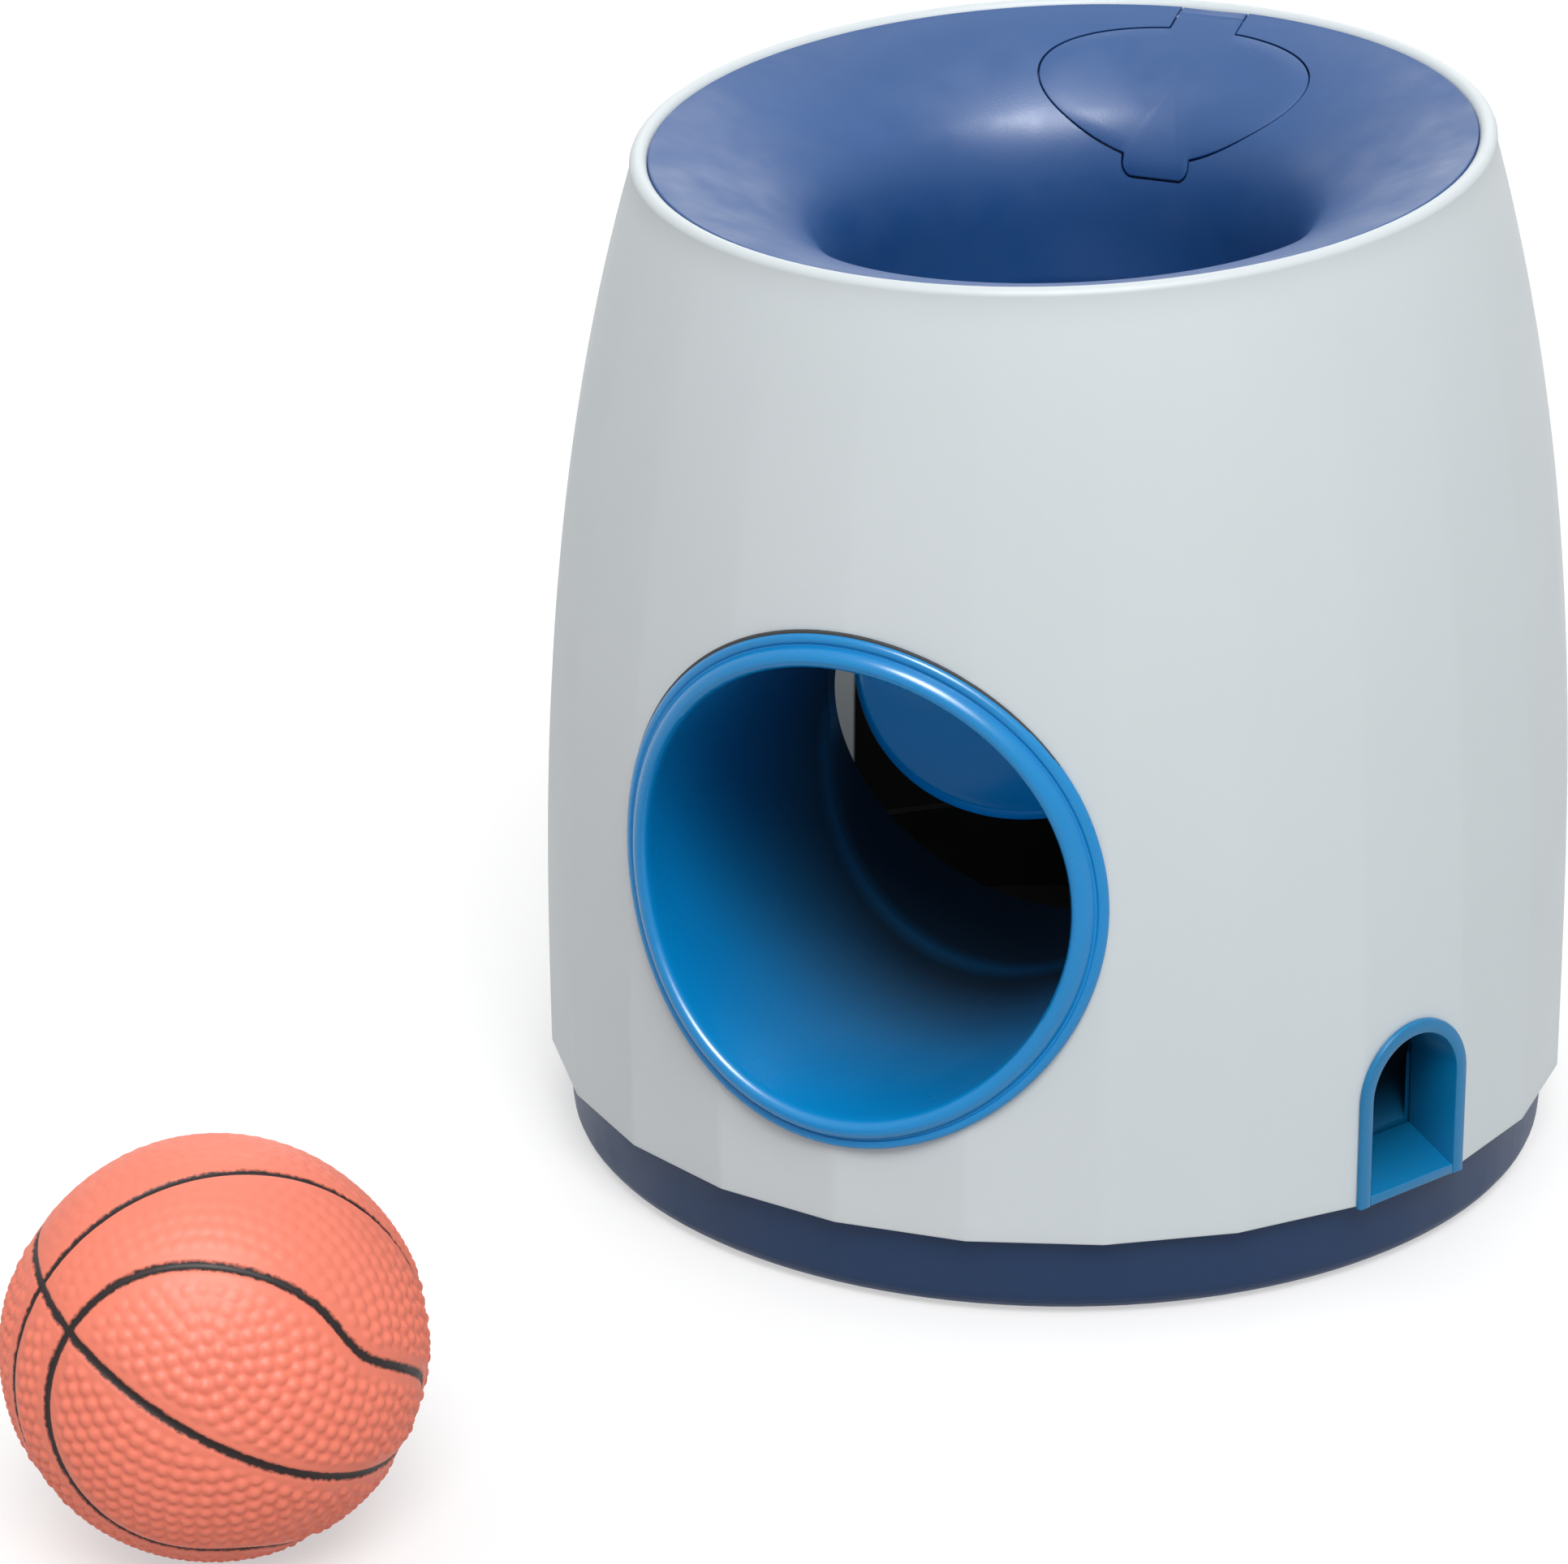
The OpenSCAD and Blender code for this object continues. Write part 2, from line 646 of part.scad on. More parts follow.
module treat_chute() {
    n = len(chute_route);
    m = 8;
    first_cap = [[0, 1, 5], [1, 4, 5], [1, 2, 4], [2, 3, 4], [0, 5, 6], [0, 6, 7]];
    last_cap = [for (f = first_cap) [for (k = reversed(f)) k + m * (n - 1)]];
    faces = concat(band(n, m, false), first_cap, last_cap);
    start = chute_route[0];
    color(bright_blue) {
        polyhedron(flat([for (s = chute_route) chute_ring(s)]), faces, convexity = 6);
        translate([start[0], start[1] - chute_a, start[2] - chute_wall])
            cube([chute_wall, 2 * chute_a, chute_wall + start[4]]);
        for (i = chute_legs) let (s = chute_route[i]) translate([s[0], s[1], base_top])
            cylinder(r = chute_leg_r, h = s[2] - chute_wall / 2 - base_top);
    }
}

// Side view of the bin and its neck, with its walls drawn in by t
function bin_outline(t, low) = [[hopper_y + t, low], [bin_back - t, low], [bin_back - t, bin_high],
    [neck_back - t, neck_low], [neck_back - t, rim_z + t], [neck_front + t, rim_z + t],
    [neck_front + t, neck_front_low], [hopper_y + t, front_bend]];

// The bin's solid, or its hollow, with the neck kept inside the housing's ledge
module bin_solid(t, low) {
    half = hopper_a - t;
    intersection() {
        translate([-half, 0, 0]) rotate([90, 0, 90]) linear_extrude(2 * half) polygon(bin_outline(t, low));
        union() {
            translate([-half, 0, low]) cube([2 * half, bin_back, neck_step - t - low]);
            rim_frame() translate([0, 0, -neck_deep]) cylinder(r = neck_r - t, h = 2 * neck_deep);
        }
    }
}

module hopper() {
    inner_y = hopper_y + hopper_wall;
    inner_a = hopper_a - hopper_wall;
    inner_back = bin_back - hopper_wall;
    mouth_a = pocket_a + hopper_wall;
    ear_out = ear_x + ear_t;
    tab_l = tab_x + tab_half - hopper_a + 1;
    color(pale) difference() {
        union() {
            bin_solid(0, bin_low);
            hull() {
                translate([-hopper_a, hopper_y, bin_low]) cube([2 * hopper_a, bin_back - hopper_y, shed]);
                translate([-mouth_a, outlet_y - hopper_wall, plate_z])
                    cube([2 * mouth_a, pocket_l + 2 * hopper_wall, shed]);
            }
            translate([-plate_a, plate_y, plate_z]) cube([2 * plate_a, plate_back - plate_y, plate_t]);
            translate([-ear_out, hopper_y, bin_low]) cube([2 * ear_out, ear_plate_t, ear_plate_h]);
            for (x = [-ear_out, ear_x]) {
                translate([x, axle_y, axle_z - ear_z]) cube([ear_t, hopper_y - axle_y + 1, 2 * ear_z]);
                across_x(x, axle_y, axle_z, ear_t, ear_z);
            }
            for (x = [-tab_x - tab_half, hopper_a - 1])
                translate([x, tab_y - tab_half, tab_z]) cube([tab_l, 2 * tab_half, tab_t]);
        }
        bin_solid(hopper_wall, bin_low - eps);
        hull() {
            translate([-inner_a, inner_y, bin_low]) cube([2 * inner_a, inner_back - inner_y, eps]);
            translate([-pocket_a, outlet_y, plate_z + plate_t]) cube([2 * pocket_a, pocket_l, eps]);
        }
        translate([-pocket_a, outlet_y, plate_z - 1]) cube([2 * pocket_a, pocket_l, plate_t + 2]);
        across_x(-ear_out - 1, axle_y, axle_z, 2 * (ear_out + 1), bush_r);
        rim_frame() rotate_extrude() polygon(concat(horn_line(funnel_wall + seat_gap, under_q),
            [[0, -throat_depth], [0, lid_reach], [rim_r, lid_reach], [rim_r, flange_low - seat_gap]]));
        for (s = [-1, 1]) translate([s * tab_x, tab_y, tab_z - 1])
            cylinder(d = screw_d + 2 * screw_gap, h = tab_t + 2);
        for (p = bed_screw_at) translate([p[0], p[1], plate_z - 1]) cylinder(d = screw_d, h = plate_t + 2);
    }
}

module hopper_screws() {
    color(steel) for (s = [-1, 1]) translate([s * tab_x, tab_y, tab_z - head_t])
        screw(tab_t + hopper_screw_l - 3);
}

module dosing_bed() {
    drop_y = outlet_y + stroke;
    color(pale) difference() {
        union() {
            translate([-plate_a, plate_y, bed_z]) cube([2 * plate_a, plate_back - plate_y, bed_t]);
            translate([-plate_a, plate_y, bed_z])
                cube([plate_a - rail_x, plate_back - plate_y, plate_z - bed_z]);
            translate([rail_x, right_rail_y, bed_z])
                cube([plate_a - rail_x, plate_back - right_rail_y, plate_z - bed_z]);
        }
        translate([-pocket_a - drop_gap, drop_y - drop_gap, bed_z - 1])
            cube([2 * (pocket_a + drop_gap), pocket_l + 2 * drop_gap, bed_t + 2]);
        for (p = bed_screw_at) translate([p[0], p[1], bed_z - 1])
            cylinder(d = screw_d + 2 * screw_gap, h = plate_z - bed_z + 2);
    }
}

module bed_screws() {
    color(steel) for (p = bed_screw_at) translate([p[0], p[1], bed_z - head_t])
        screw(plate_z - bed_z + plate_t + 1);
}

module dosing_slide() {
    low = slide_z + seat_gap;
    lug_z = pin_rest[1] + 5;
    color(bright_blue) difference() {
        union() {
            translate([-slide_a, slide_front, low])
                cube([2 * slide_a, slide_back - slide_front, slide_top - low]);
            translate([0, slide_front, low]) cube([lug_x + lug_t, arm_l, arm_t]);
            translate([lug_x, pin_rest[0] - lug_w / 2, low]) cube([lug_t, lug_w / 2 + 6, arm_t]);
            translate([lug_x, pin_rest[0] - lug_w / 2, low]) cube([lug_t, lug_w, lug_z - low]);
        }
        translate([-pocket_a, outlet_y, low - 1]) cube([2 * pocket_a, pocket_l, slide_t + 2]);
        translate([lug_x - 1, pin_rest[0] - drive_pin_d / 2 - slot_gap, pin_rest[1] - drive_pin_d / 2 - 1.2])
            cube([lug_t + 2, drive_pin_d + 2 * slot_gap, 12]);
    }
}

module paddle() {
    outer = dish_ball_r + dish_wall;
    function arc_pts(r) = [for (i = [0:dish_steps])
        let (a = dish_arc * i / dish_steps) [r * sin(a), dish_ball_r - dish_depth - r * cos(a)]];
    color(bright_blue) difference() {
        union() {
            translate([0, dish_mid[0], dish_mid[1]]) rotate([dish_slope, 0, 0])
                rotate_extrude() polygon(concat(arc_pts(outer), reversed(arc_pts(dish_ball_r))));
            across_x(hub_left, axle_y, axle_z, hub_right - hub_left, hub_r);
            translate([-web_a, web_end, axle_z - web_t / 2]) cube([2 * web_a, axle_y - web_end, web_t]);
            translate([-tail_a, axle_y, axle_z]) cube([2 * tail_a, tail_back, tail_h]);
            translate([lever_x, axle_y, axle_z]) rotate([-half_swing, 0, 0])
                translate([0, -lever_w / 2, -lever]) cube([lever_t, lever_w, lever]);
            across_x(lever_x, pin_rest[0], pin_rest[1], lever_t, drive_pin_d / 2 + 1.6);
        }
        across_x(-axle_end, axle_y, axle_z, 2 * axle_end, axle_d / 2);
        across_x(lever_x - 1, pin_rest[0], pin_rest[1], lever_t + 2, drive_pin_d / 2);
    }
}

module paddle_axle() {
    groove_x = ear_x + ear_t + clip_gap;
    color(steel) difference() {
        across_x(-axle_end, axle_y, axle_z, 2 * axle_end, axle_d / 2);
        for (x = [-groove_x - clip_t, groove_x]) difference() {
            across_x(x, axle_y, axle_z, clip_t, axle_d);
            across_x(x - 1, axle_y, axle_z, clip_t + 2, axle_d / 2 - groove_deep);
        }
    }
}

module drive_pin() {
    color(steel) across_x(lever_x, pin_rest[0], pin_rest[1], lug_x + lug_t + 0.6 - lever_x, drive_pin_d / 2);
}

module axle_bushes() {
    color(black) for (s = [0, 1])
        translate([0, axle_y, axle_z]) mirror([s, 0, 0]) rotate([0, 90, 0]) difference() {
        union() {
            translate([0, 0, ear_x]) cylinder(r = bush_r, h = ear_t);
            translate([0, 0, ear_x - bush_flange]) cylinder(r = bush_r + 1.5, h = bush_flange);
        }
        translate([0, 0, ear_x - 2]) cylinder(r = axle_d / 2 + fit_gap, h = ear_t + 4);
    }
}

module axle_clips() {
    groove_x = ear_x + ear_t + clip_gap;
    color(steel) for (s = [0, 1]) translate([0, axle_y, axle_z]) mirror([s, 0, 0])
        translate([groove_x, 0, 0]) rotate([0, 90, 0]) difference() {
            cylinder(d = axle_d + 4, h = clip_t);
            translate([0, 0, -1]) cylinder(r = axle_d / 2 - groove_deep, h = clip_t + 2);
            translate([-1, -axle_d, -1]) cube([2, axle_d, clip_t + 2]);
        }
}

// Helix round the axle with a leg at each end
function spring_path() = concat(
    [[spring_x, hopper_y - axle_y - spring_wire / 2 - seat_gap, spring_leg]],
    [for (i = [0:8 * spring_turns])
        let (a = i * 45) [spring_x + spring_pitch * i / 8, spring_r * cos(a), -spring_r * sin(a)]],
    [[spring_x + spring_pitch * spring_turns, -spring_leg, -spring_r]]);

module return_spring() {
    pts = spring_path();
    n = len(pts);
    m = spring_sides;
    function along(i) = pts[min(n - 1, i + 1)] - pts[max(0, i - 1)];
    last = (n - 1) * m;
    rings = [for (i = [0:n - 1])
        let (d = along(i) / norm(along(i)), c = cross(d, [1, 0, 0]), u = c / norm(c), v = cross(d, u))
        [for (k = [0:m - 1]) pts[i] + (u * cos(360 * k / m) + v * sin(360 * k / m)) * spring_wire / 2]];
    caps = concat([for (k = [1:m - 2]) [0, k, k + 1]], [for (k = [1:m - 2]) [last, last + k + 1, last + k]]);
    color(steel) translate([0, axle_y, axle_z])
        polyhedron(flat(rings), concat(band(n, m, false), caps), convexity = 10);
}

module paddle_stop() {
    stop_l = hopper_y - axle_y - tail_back - stop_gap;
    color(black) translate([0, hopper_y, axle_z + tail_h - stop_r])
        rotate([90, 0, 0]) cylinder(r = stop_r, h = stop_l);
}

module ball() {
    r = ball_d / 2;
    vent_r = 1.2;
    color("coral") translate([ball_x, ball_y, r]) difference() {
        sphere(r = r);
        sphere(r = r - ball_wall);
        rotate([-90, 0, 0]) cylinder(r = vent_r, h = ball_d);
    }
}

housing_shell();
base_tray();
grip_ring();
base_screws();
funnel_top();
treat_lid();
lid_hinge_pin();
ball_tunnel();
treat_spout();
treat_chute();
hopper();
hopper_screws();
dosing_bed();
bed_screws();
dosing_slide();
paddle();
paddle_axle();
drive_pin();
axle_bushes();
axle_clips();
return_spring();
paddle_stop();
ball();
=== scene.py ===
"""Looks of a treat dispensing ball toy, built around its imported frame.

A ball dropped into the funnel tips a sprung dish and rolls out of the tunnel, while a
dosing slide lets a few treats down the chute to the spout. Sizes are written in
millimetres, in the frame of the solids, and turned into metres by MM.
"""

import logging
import math
from dataclasses import dataclass, field, replace
from enum import Enum
from functools import partial
from typing import Callable, Sequence

import bmesh
import bpy
from mathutils import Matrix, Vector


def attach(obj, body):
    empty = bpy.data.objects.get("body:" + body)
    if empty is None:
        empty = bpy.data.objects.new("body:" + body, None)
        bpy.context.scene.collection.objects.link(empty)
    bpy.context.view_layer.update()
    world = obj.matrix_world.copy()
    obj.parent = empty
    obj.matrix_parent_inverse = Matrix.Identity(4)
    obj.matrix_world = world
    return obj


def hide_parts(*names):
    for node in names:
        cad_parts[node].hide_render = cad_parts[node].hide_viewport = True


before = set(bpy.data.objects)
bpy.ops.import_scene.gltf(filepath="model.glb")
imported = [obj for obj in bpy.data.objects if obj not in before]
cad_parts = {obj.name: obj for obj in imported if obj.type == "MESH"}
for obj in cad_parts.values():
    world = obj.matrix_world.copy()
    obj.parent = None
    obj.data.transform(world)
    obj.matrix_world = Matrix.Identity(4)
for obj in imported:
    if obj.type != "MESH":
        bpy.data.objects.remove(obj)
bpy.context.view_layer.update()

MM = 0.001
MERGE = 0.002 * MM
log = logging.getLogger("treat_toy")

# Degrees that faces turn by at an edge that is shaded hard
SHARP = 30.0
# How far in the middle of a rounded edge lies, as a share of its radius
BEVEL_SHARE = 0.29
# Octaves of the noises
FLOW_DETAIL, FINE_DETAIL, RIPPLE_DETAIL = 3.0, 2.0, 1.0

BMesh = bmesh.types.BMesh
Socket = bpy.types.NodeSocket
Outline = Sequence[tuple[float, float]]
Station = Callable[[float], Vector]
Colour = tuple[float, float, float, float]


def tone(red: int, green: int, blue: int) -> Colour:
    """Turns an 8-bit display colour into the linear colour that a shader takes.

    Args:
        red: Red from 0 to 255.
        green: Green from 0 to 255.
        blue: Blue from 0 to 255.

    Returns:
        The linear colour with full alpha.
    """
    def linear(level: int) -> float:
        """Undoes the sRGB display curve of one channel."""
        full, knee, foot_slope, offset, power = 255, 0.04045, 12.92, 0.055, 2.4
        share = level / full
        return share / foot_slope if share <= knee else ((share + offset) / (1 + offset)) ** power
    return linear(red), linear(green), linear(blue), 1.0


def sin_d(angle: float) -> float:
    """Sine of an angle in degrees."""
    return math.sin(math.radians(angle))


def cos_d(angle: float) -> float:
    """Cosine of an angle in degrees."""
    return math.cos(math.radians(angle))


def spread(low: float, high: float, steps: int) -> list[float]:
    """Even steps from low to high, with both ends."""
    return [low + (high - low) * i / steps for i in range(steps + 1)]


def clamp(value: float, low: float = 0.0, high: float = 1.0) -> float:
    """A value held between two limits."""
    return max(low, min(high, value))


# Mesh tools


def skin(columns: int, rows: int, place: Callable[[int, int], Vector]) -> BMesh:
    """Lays a grid over a surface and joins the edges that meet.

    Args:
        columns: Faces across the grid.
        rows: Faces up the grid.
        place: Gives a grid point's place in millimetres from its column and row.

    Returns:
        The closed surface, in metres.
    """
    bm = bmesh.new()
    bmesh.ops.create_grid(bm, x_segments=columns, y_segments=rows, size=1.0)
    for vert in bm.verts:
        column = round((vert.co.x + 1) / 2 * columns)
        row = round((vert.co.y + 1) / 2 * rows)
        vert.co = place(column, row) * MM
    return tidy(bm)


def tidy(bm: BMesh) -> BMesh:
    """Merges doubled points and turns the faces outwards."""
    bmesh.ops.remove_doubles(bm, verts=bm.verts[:], dist=MERGE)
    bmesh.ops.recalc_face_normals(bm, faces=bm.faces[:])
    return bm


def rings(stations: Sequence[Station], angles: Sequence[float]) -> BMesh:
    """Closes a band of rings that goes out along one wall and back along the other.

    Args:
        stations: One function per ring, from an angle in degrees to a point.
        angles: The angles round each ring, without the closing one.

    Returns:
        The closed band.
    """
    turns = [*angles, angles[0]]
    band = [*stations, stations[0]]
    return skin(len(angles), len(stations), lambda c, r: band[r](turns[c]))


def lathe(outline: Outline, steps: int) -> BMesh:
    """Spins a closed outline of (radius, height) points about Z.

    Args:
        outline: The points in order round the section.
        steps: Faces round the full turn.

    Returns:
        The turned solid, in metres.
    """
    bm = bmesh.new()
    verts = [bm.verts.new((r * MM, 0, z * MM)) for r, z in outline]
    edges = [bm.edges.new(pair) for pair in zip(verts, verts[1:] + verts[:1])]
    bmesh.ops.spin(bm, geom=verts + edges, cent=(0, 0, 0), axis=(0, 0, 1), dvec=(0, 0, 0),
                   angle=2 * math.pi, steps=steps, use_merge=True, use_duplicate=False)
    return tidy(bm)


def prism(outline: Outline, depth: float) -> BMesh:
    """Extrudes an outline in the XZ plane along -Y.

    Args:
        outline: The (x, z) points in order.
        depth: Length of the prism.

    Returns:
        The prism, from y = 0 to y = -depth, in metres.
    """
    bm = bmesh.new()
    face = bm.faces.new([bm.verts.new((x * MM, 0, z * MM)) for x, z in outline])
    pulled = bmesh.ops.extrude_face_region(bm, geom=[face])["geom"]
    verts = [part for part in pulled if isinstance(part, bmesh.types.BMVert)]
    bmesh.ops.translate(bm, vec=(0, -depth * MM, 0), verts=verts)
    return tidy(bm)


def rod(start: Vector, end: Vector, radius: float, sides: int = 48) -> BMesh:
    """Makes a round rod between two points in millimetres.

    Args:
        start: Middle of one end.
        end: Middle of the other end.
        radius: Radius of the rod.
        sides: Faces round it.

    Returns:
        The rod, in metres.
    """
    bm = bmesh.new()
    along = end - start
    turn = along.to_track_quat("Z", "Y").to_matrix().to_4x4()
    matrix = Matrix.Translation((start + end) / 2 * MM) @ turn
    bmesh.ops.create_cone(bm, cap_ends=True, segments=sides, radius1=radius * MM,
                          radius2=radius * MM, depth=along.length * MM, matrix=matrix)
    return bm


def block(low: Vector, high: Vector) -> BMesh:
    """Makes a box between two corners in millimetres."""
    bm = bmesh.new()
    size = (high - low) * MM
    matrix = Matrix.Translation((low + high) / 2 * MM) @ Matrix.Diagonal((*size, 1))
    bmesh.ops.create_cube(bm, size=1.0, matrix=matrix)
    return bm


def rounded(bm: BMesh, width: float, segments: int = 3, angle: float = 40) -> BMesh:
    """Rounds the edges whose faces turn by more than an angle.

    Args:
        bm: The mesh to round.
        width: Width of the rounding in millimetres.
        segments: Faces across the rounding.
        angle: Least turn of an edge that is rounded, in degrees.

    Returns:
        The same mesh.
    """
    least = math.radians(angle)
    edges = [edge for edge in bm.edges
             if len(edge.link_faces) == 2 and edge.calc_face_angle() > least]
    bmesh.ops.bevel(bm, geom=edges, offset=width * MM, offset_type="OFFSET", segments=segments,
                    profile=0.5, affect="EDGES", material=-1, clamp_overlap=True)
    return bm


def moved(bm: BMesh, matrix: Matrix) -> BMesh:
    """Moves a whole mesh by a matrix in metres."""
    bmesh.ops.transform(bm, matrix=matrix, verts=bm.verts[:])
    return bm


def joined(parts: Sequence[BMesh]) -> BMesh:
    """Puts several closed meshes into one, in order, and frees them."""
    whole = bmesh.new()
    for part in parts:
        mesh = bpy.data.meshes.new("part")
        part.to_mesh(mesh)
        part.free()
        whole.from_mesh(mesh)
        bpy.data.meshes.remove(mesh)
    return whole


def smooth(mesh: bpy.types.Mesh, sharp: float) -> None:
    """Shades a mesh smooth, with hard edges where faces turn by more than an angle."""
    mesh.shade_smooth()
    mesh.set_sharp_from_angle(angle=math.radians(sharp))


def as_object(name: str, bm: BMesh, sharp: float = SHARP) -> bpy.types.Object:
    """Makes an object of a mesh, at the origin.

    Args:
        name: Name of the object.
        bm: Its mesh, which is freed.
        sharp: Turn in degrees from which an edge is shaded hard.

    Returns:
        The linked object.
    """
    mesh = bpy.data.meshes.new(name)
    bm.to_mesh(mesh)
    bm.free()
    smooth(mesh, sharp)
    thing = bpy.data.objects.new(name, mesh)
    bpy.context.scene.collection.objects.link(thing)
    return thing


def carve(piece: bpy.types.Object, cutter: BMesh) -> None:
    """Cuts a mesh out of a piece for good.

    Args:
        piece: The piece that is cut.
        cutter: The closed mesh to take away, which is freed.
    """
    tool = as_object("cutter", cutter)
    cut = piece.modifiers.new("carve", "BOOLEAN")
    cut.solver = "MANIFOLD"
    cut.operation = "DIFFERENCE"
    cut.object = tool
    depsgraph = bpy.context.evaluated_depsgraph_get()
    carved = bpy.data.meshes.new_from_object(piece.evaluated_get(depsgraph))
    piece.modifiers.clear()
    whole = piece.data
    piece.data = carved
    bpy.data.meshes.remove(whole)
    carved.name = piece.name
    carved.materials.clear()
    smooth(carved, SHARP)
    tool_mesh = tool.data
    bpy.data.objects.remove(tool)
    bpy.data.meshes.remove(tool_mesh)


# Finishes


def chained(tree: bpy.types.NodeTree, operation: str, values: Sequence[Socket]) -> Socket:
    """Takes values together, in order, by a Math node's operation.

    Args:
        tree: The node tree that the values are in.
        operation: The Math node's operation.
        values: Two values or more.

    Returns:
        The result of the last node.
    """
    whole = values[0]
    for value in values[1:]:
        node = tree.nodes.new("ShaderNodeMath")
        node.operation = operation
        tree.links.new(whole, node.inputs[0])
        tree.links.new(value, node.inputs[1])
        whole = node.outputs["Value"]
    return whole


class Shader:
    """A material's node tree, with short calls for the nodes that the finishes use."""

    def __init__(self, name: str) -> None:
        """Starts a material with a Principled shader and Object coordinates."""
        self.material = bpy.data.materials.new(name)
        self.material.use_nodes = True
        self.nodes = self.material.node_tree.nodes
        self.links = self.material.node_tree.links
        self.surface = self.nodes["Principled BSDF"]
        self.place = self.nodes.new("ShaderNodeTexCoord").outputs["Object"]

    def noise(self, size: float, detail: float = FINE_DETAIL,
              stretch: Sequence[float] = (1, 1, 1)) -> Socket:
        """Adds noise with blotches of a size in millimetres.

        Args:
            size: Rough size of a blotch.
            detail: Octaves of finer noise.
            stretch: How much finer the noise is along X, Y and Z.

        Returns:
            The noise value, about 0.5 in the middle.
        """
        mapping = self.nodes.new("ShaderNodeMapping")
        mapping.inputs["Scale"].default_value = stretch
        self.links.new(self.place, mapping.inputs["Vector"])
        texture = self.nodes.new("ShaderNodeTexNoise")
        texture.inputs["Scale"].default_value = 1 / (size * MM)
        texture.inputs["Detail"].default_value = detail
        self.links.new(mapping.outputs["Vector"], texture.inputs["Vector"])
        return texture.outputs["Fac"]

    def axis_distance(self) -> Socket:
        """Adds the distance from the Z axis, in metres."""
        flat = self.nodes.new("ShaderNodeVectorMath")
        flat.operation = "MULTIPLY"
        flat.inputs[1].default_value = (1, 1, 0)
        self.links.new(self.place, flat.inputs[0])
        length = self.nodes.new("ShaderNodeVectorMath")
        length.operation = "LENGTH"
        self.links.new(flat.outputs["Vector"], length.inputs[0])
        return length.outputs["Value"]

    def axes(self) -> bpy.types.bpy_prop_collection:
        """Adds the place's X, Y and Z, in metres."""
        split = self.nodes.new("ShaderNodeSeparateXYZ")
        self.links.new(self.place, split.inputs["Vector"])
        return split.outputs

    def dot(self, direction: tuple[float, float, float]) -> Socket:
        """Adds how far the place lies along a direction, in metres."""
        node = self.nodes.new("ShaderNodeVectorMath")
        node.operation = "DOT_PRODUCT"
        node.inputs[1].default_value = direction
        self.links.new(self.place, node.inputs[0])
        return node.outputs["Value"]

    def merge(self, operation: str, *values: Socket) -> Socket:
        """Takes values together by a Math node's operation."""
        return chained(self.material.node_tree, operation, values)

    def span(self, value: Socket, low: float, high: float,
             start: float = 0.25, end: float = 0.75) -> Socket:
        """Maps a value's middle range, from start to end, to low and high."""
        node = self.nodes.new("ShaderNodeMapRange")
        ends = {"From Min": start, "From Max": end, "To Min": low, "To Max": high}
        for name, level in ends.items():
            node.inputs[name].default_value = level
        self.links.new(value, node.inputs["Value"])
        return node.outputs["Result"]

    def blend(self, share: Socket, first: "Colour | Socket",
              second: Colour) -> Socket:
        """Mixes two colours by a share from 0 to 1."""
        node = self.nodes.new("ShaderNodeMix")
        node.data_type = "RGBA"
        first_in, second_in, mixed = node.inputs[6], node.inputs[7], node.outputs[2]
        self.links.new(share, node.inputs["Factor"])
        if isinstance(first, tuple):
            first_in.default_value = first
        else:
            self.links.new(first, first_in)
        second_in.default_value = second
        return mixed

    def feed(self, name: str, value: Socket) -> None:
        """Links a value to one of the shader's own sockets."""
        self.links.new(value, self.surface.inputs[name])

    def relief(self, height: Socket, depth: float) -> None:
        """Adds fine relief over any that is there.

        Args:
            height: The height, from 0 to 1.
            depth: Depth of the relief in millimetres.
        """
        bump = self.nodes.new("ShaderNodeBump")
        bump.inputs["Distance"].default_value = depth * MM
        bump.inputs["Strength"].default_value = 1.0
        self.links.new(height, bump.inputs["Height"])
        normal = self.surface.inputs["Normal"]
        if normal.is_linked:
            self.links.new(normal.links[0].from_socket, bump.inputs["Normal"])
        self.links.new(bump.outputs["Normal"], normal)


def shaded(colour: Colour, share: float) -> Colour:
    """A colour made lighter or darker by a share."""
    red, green, blue = (min(1.0, channel * share) for channel in colour[:3])
    return red, green, blue, 1.0


@dataclass(frozen=True)
class PaintedDepthShade:
    """Painted shade: how a plastic's colour is darkened, and made more matt, towards the toy's
    middle, where shade falls in its hollows.

    Attributes:
        inner_r: Radius at which it is deepest.
        outer_r: Radius at which it starts.
        left: Share of the colour that is left.
        matt: Roughness that is added.
    """

    inner_r: float
    outer_r: float
    left: float
    matt: float = 0.0

    def share(self, shader: Shader, full: float) -> Socket:
        """A value that goes from 0 outside to a full value in the middle."""
        return shader.span(shader.axis_distance(), full, 0, self.inner_r * MM, self.outer_r * MM)


@dataclass(frozen=True)
class PaintedInnerShadow:
    """Painted shadow: a dark tone inside a piece, where only shade falls, within a radius, behind a
    depth and between two heights.
    """

    radius: float
    behind: float
    low: float
    high: float
    # colour of the painted shadow
    colour: Colour = tone(16, 17, 19)
    edge: float = 0.2

    def step(self, shader: Shader, value: Socket, at: float, up: bool) -> Socket:
        """A value that steps up or down between 0 and 1 at a place."""
        ends = (0, 1) if up else (1, 0)
        return shader.span(value, *ends, (at - self.edge) * MM, (at + self.edge) * MM)

    def share(self, shader: Shader) -> Socket:
        """A value that is 1 where the painted shadow is."""
        place = shader.axes()
        return shader.merge("MULTIPLY",
                            self.step(shader, shader.axis_distance(), self.radius, False),
                            self.step(shader, place["Y"], self.behind, True),
                            self.step(shader, place["Z"], self.low, True),
                            self.step(shader, place["Z"], self.high, False))


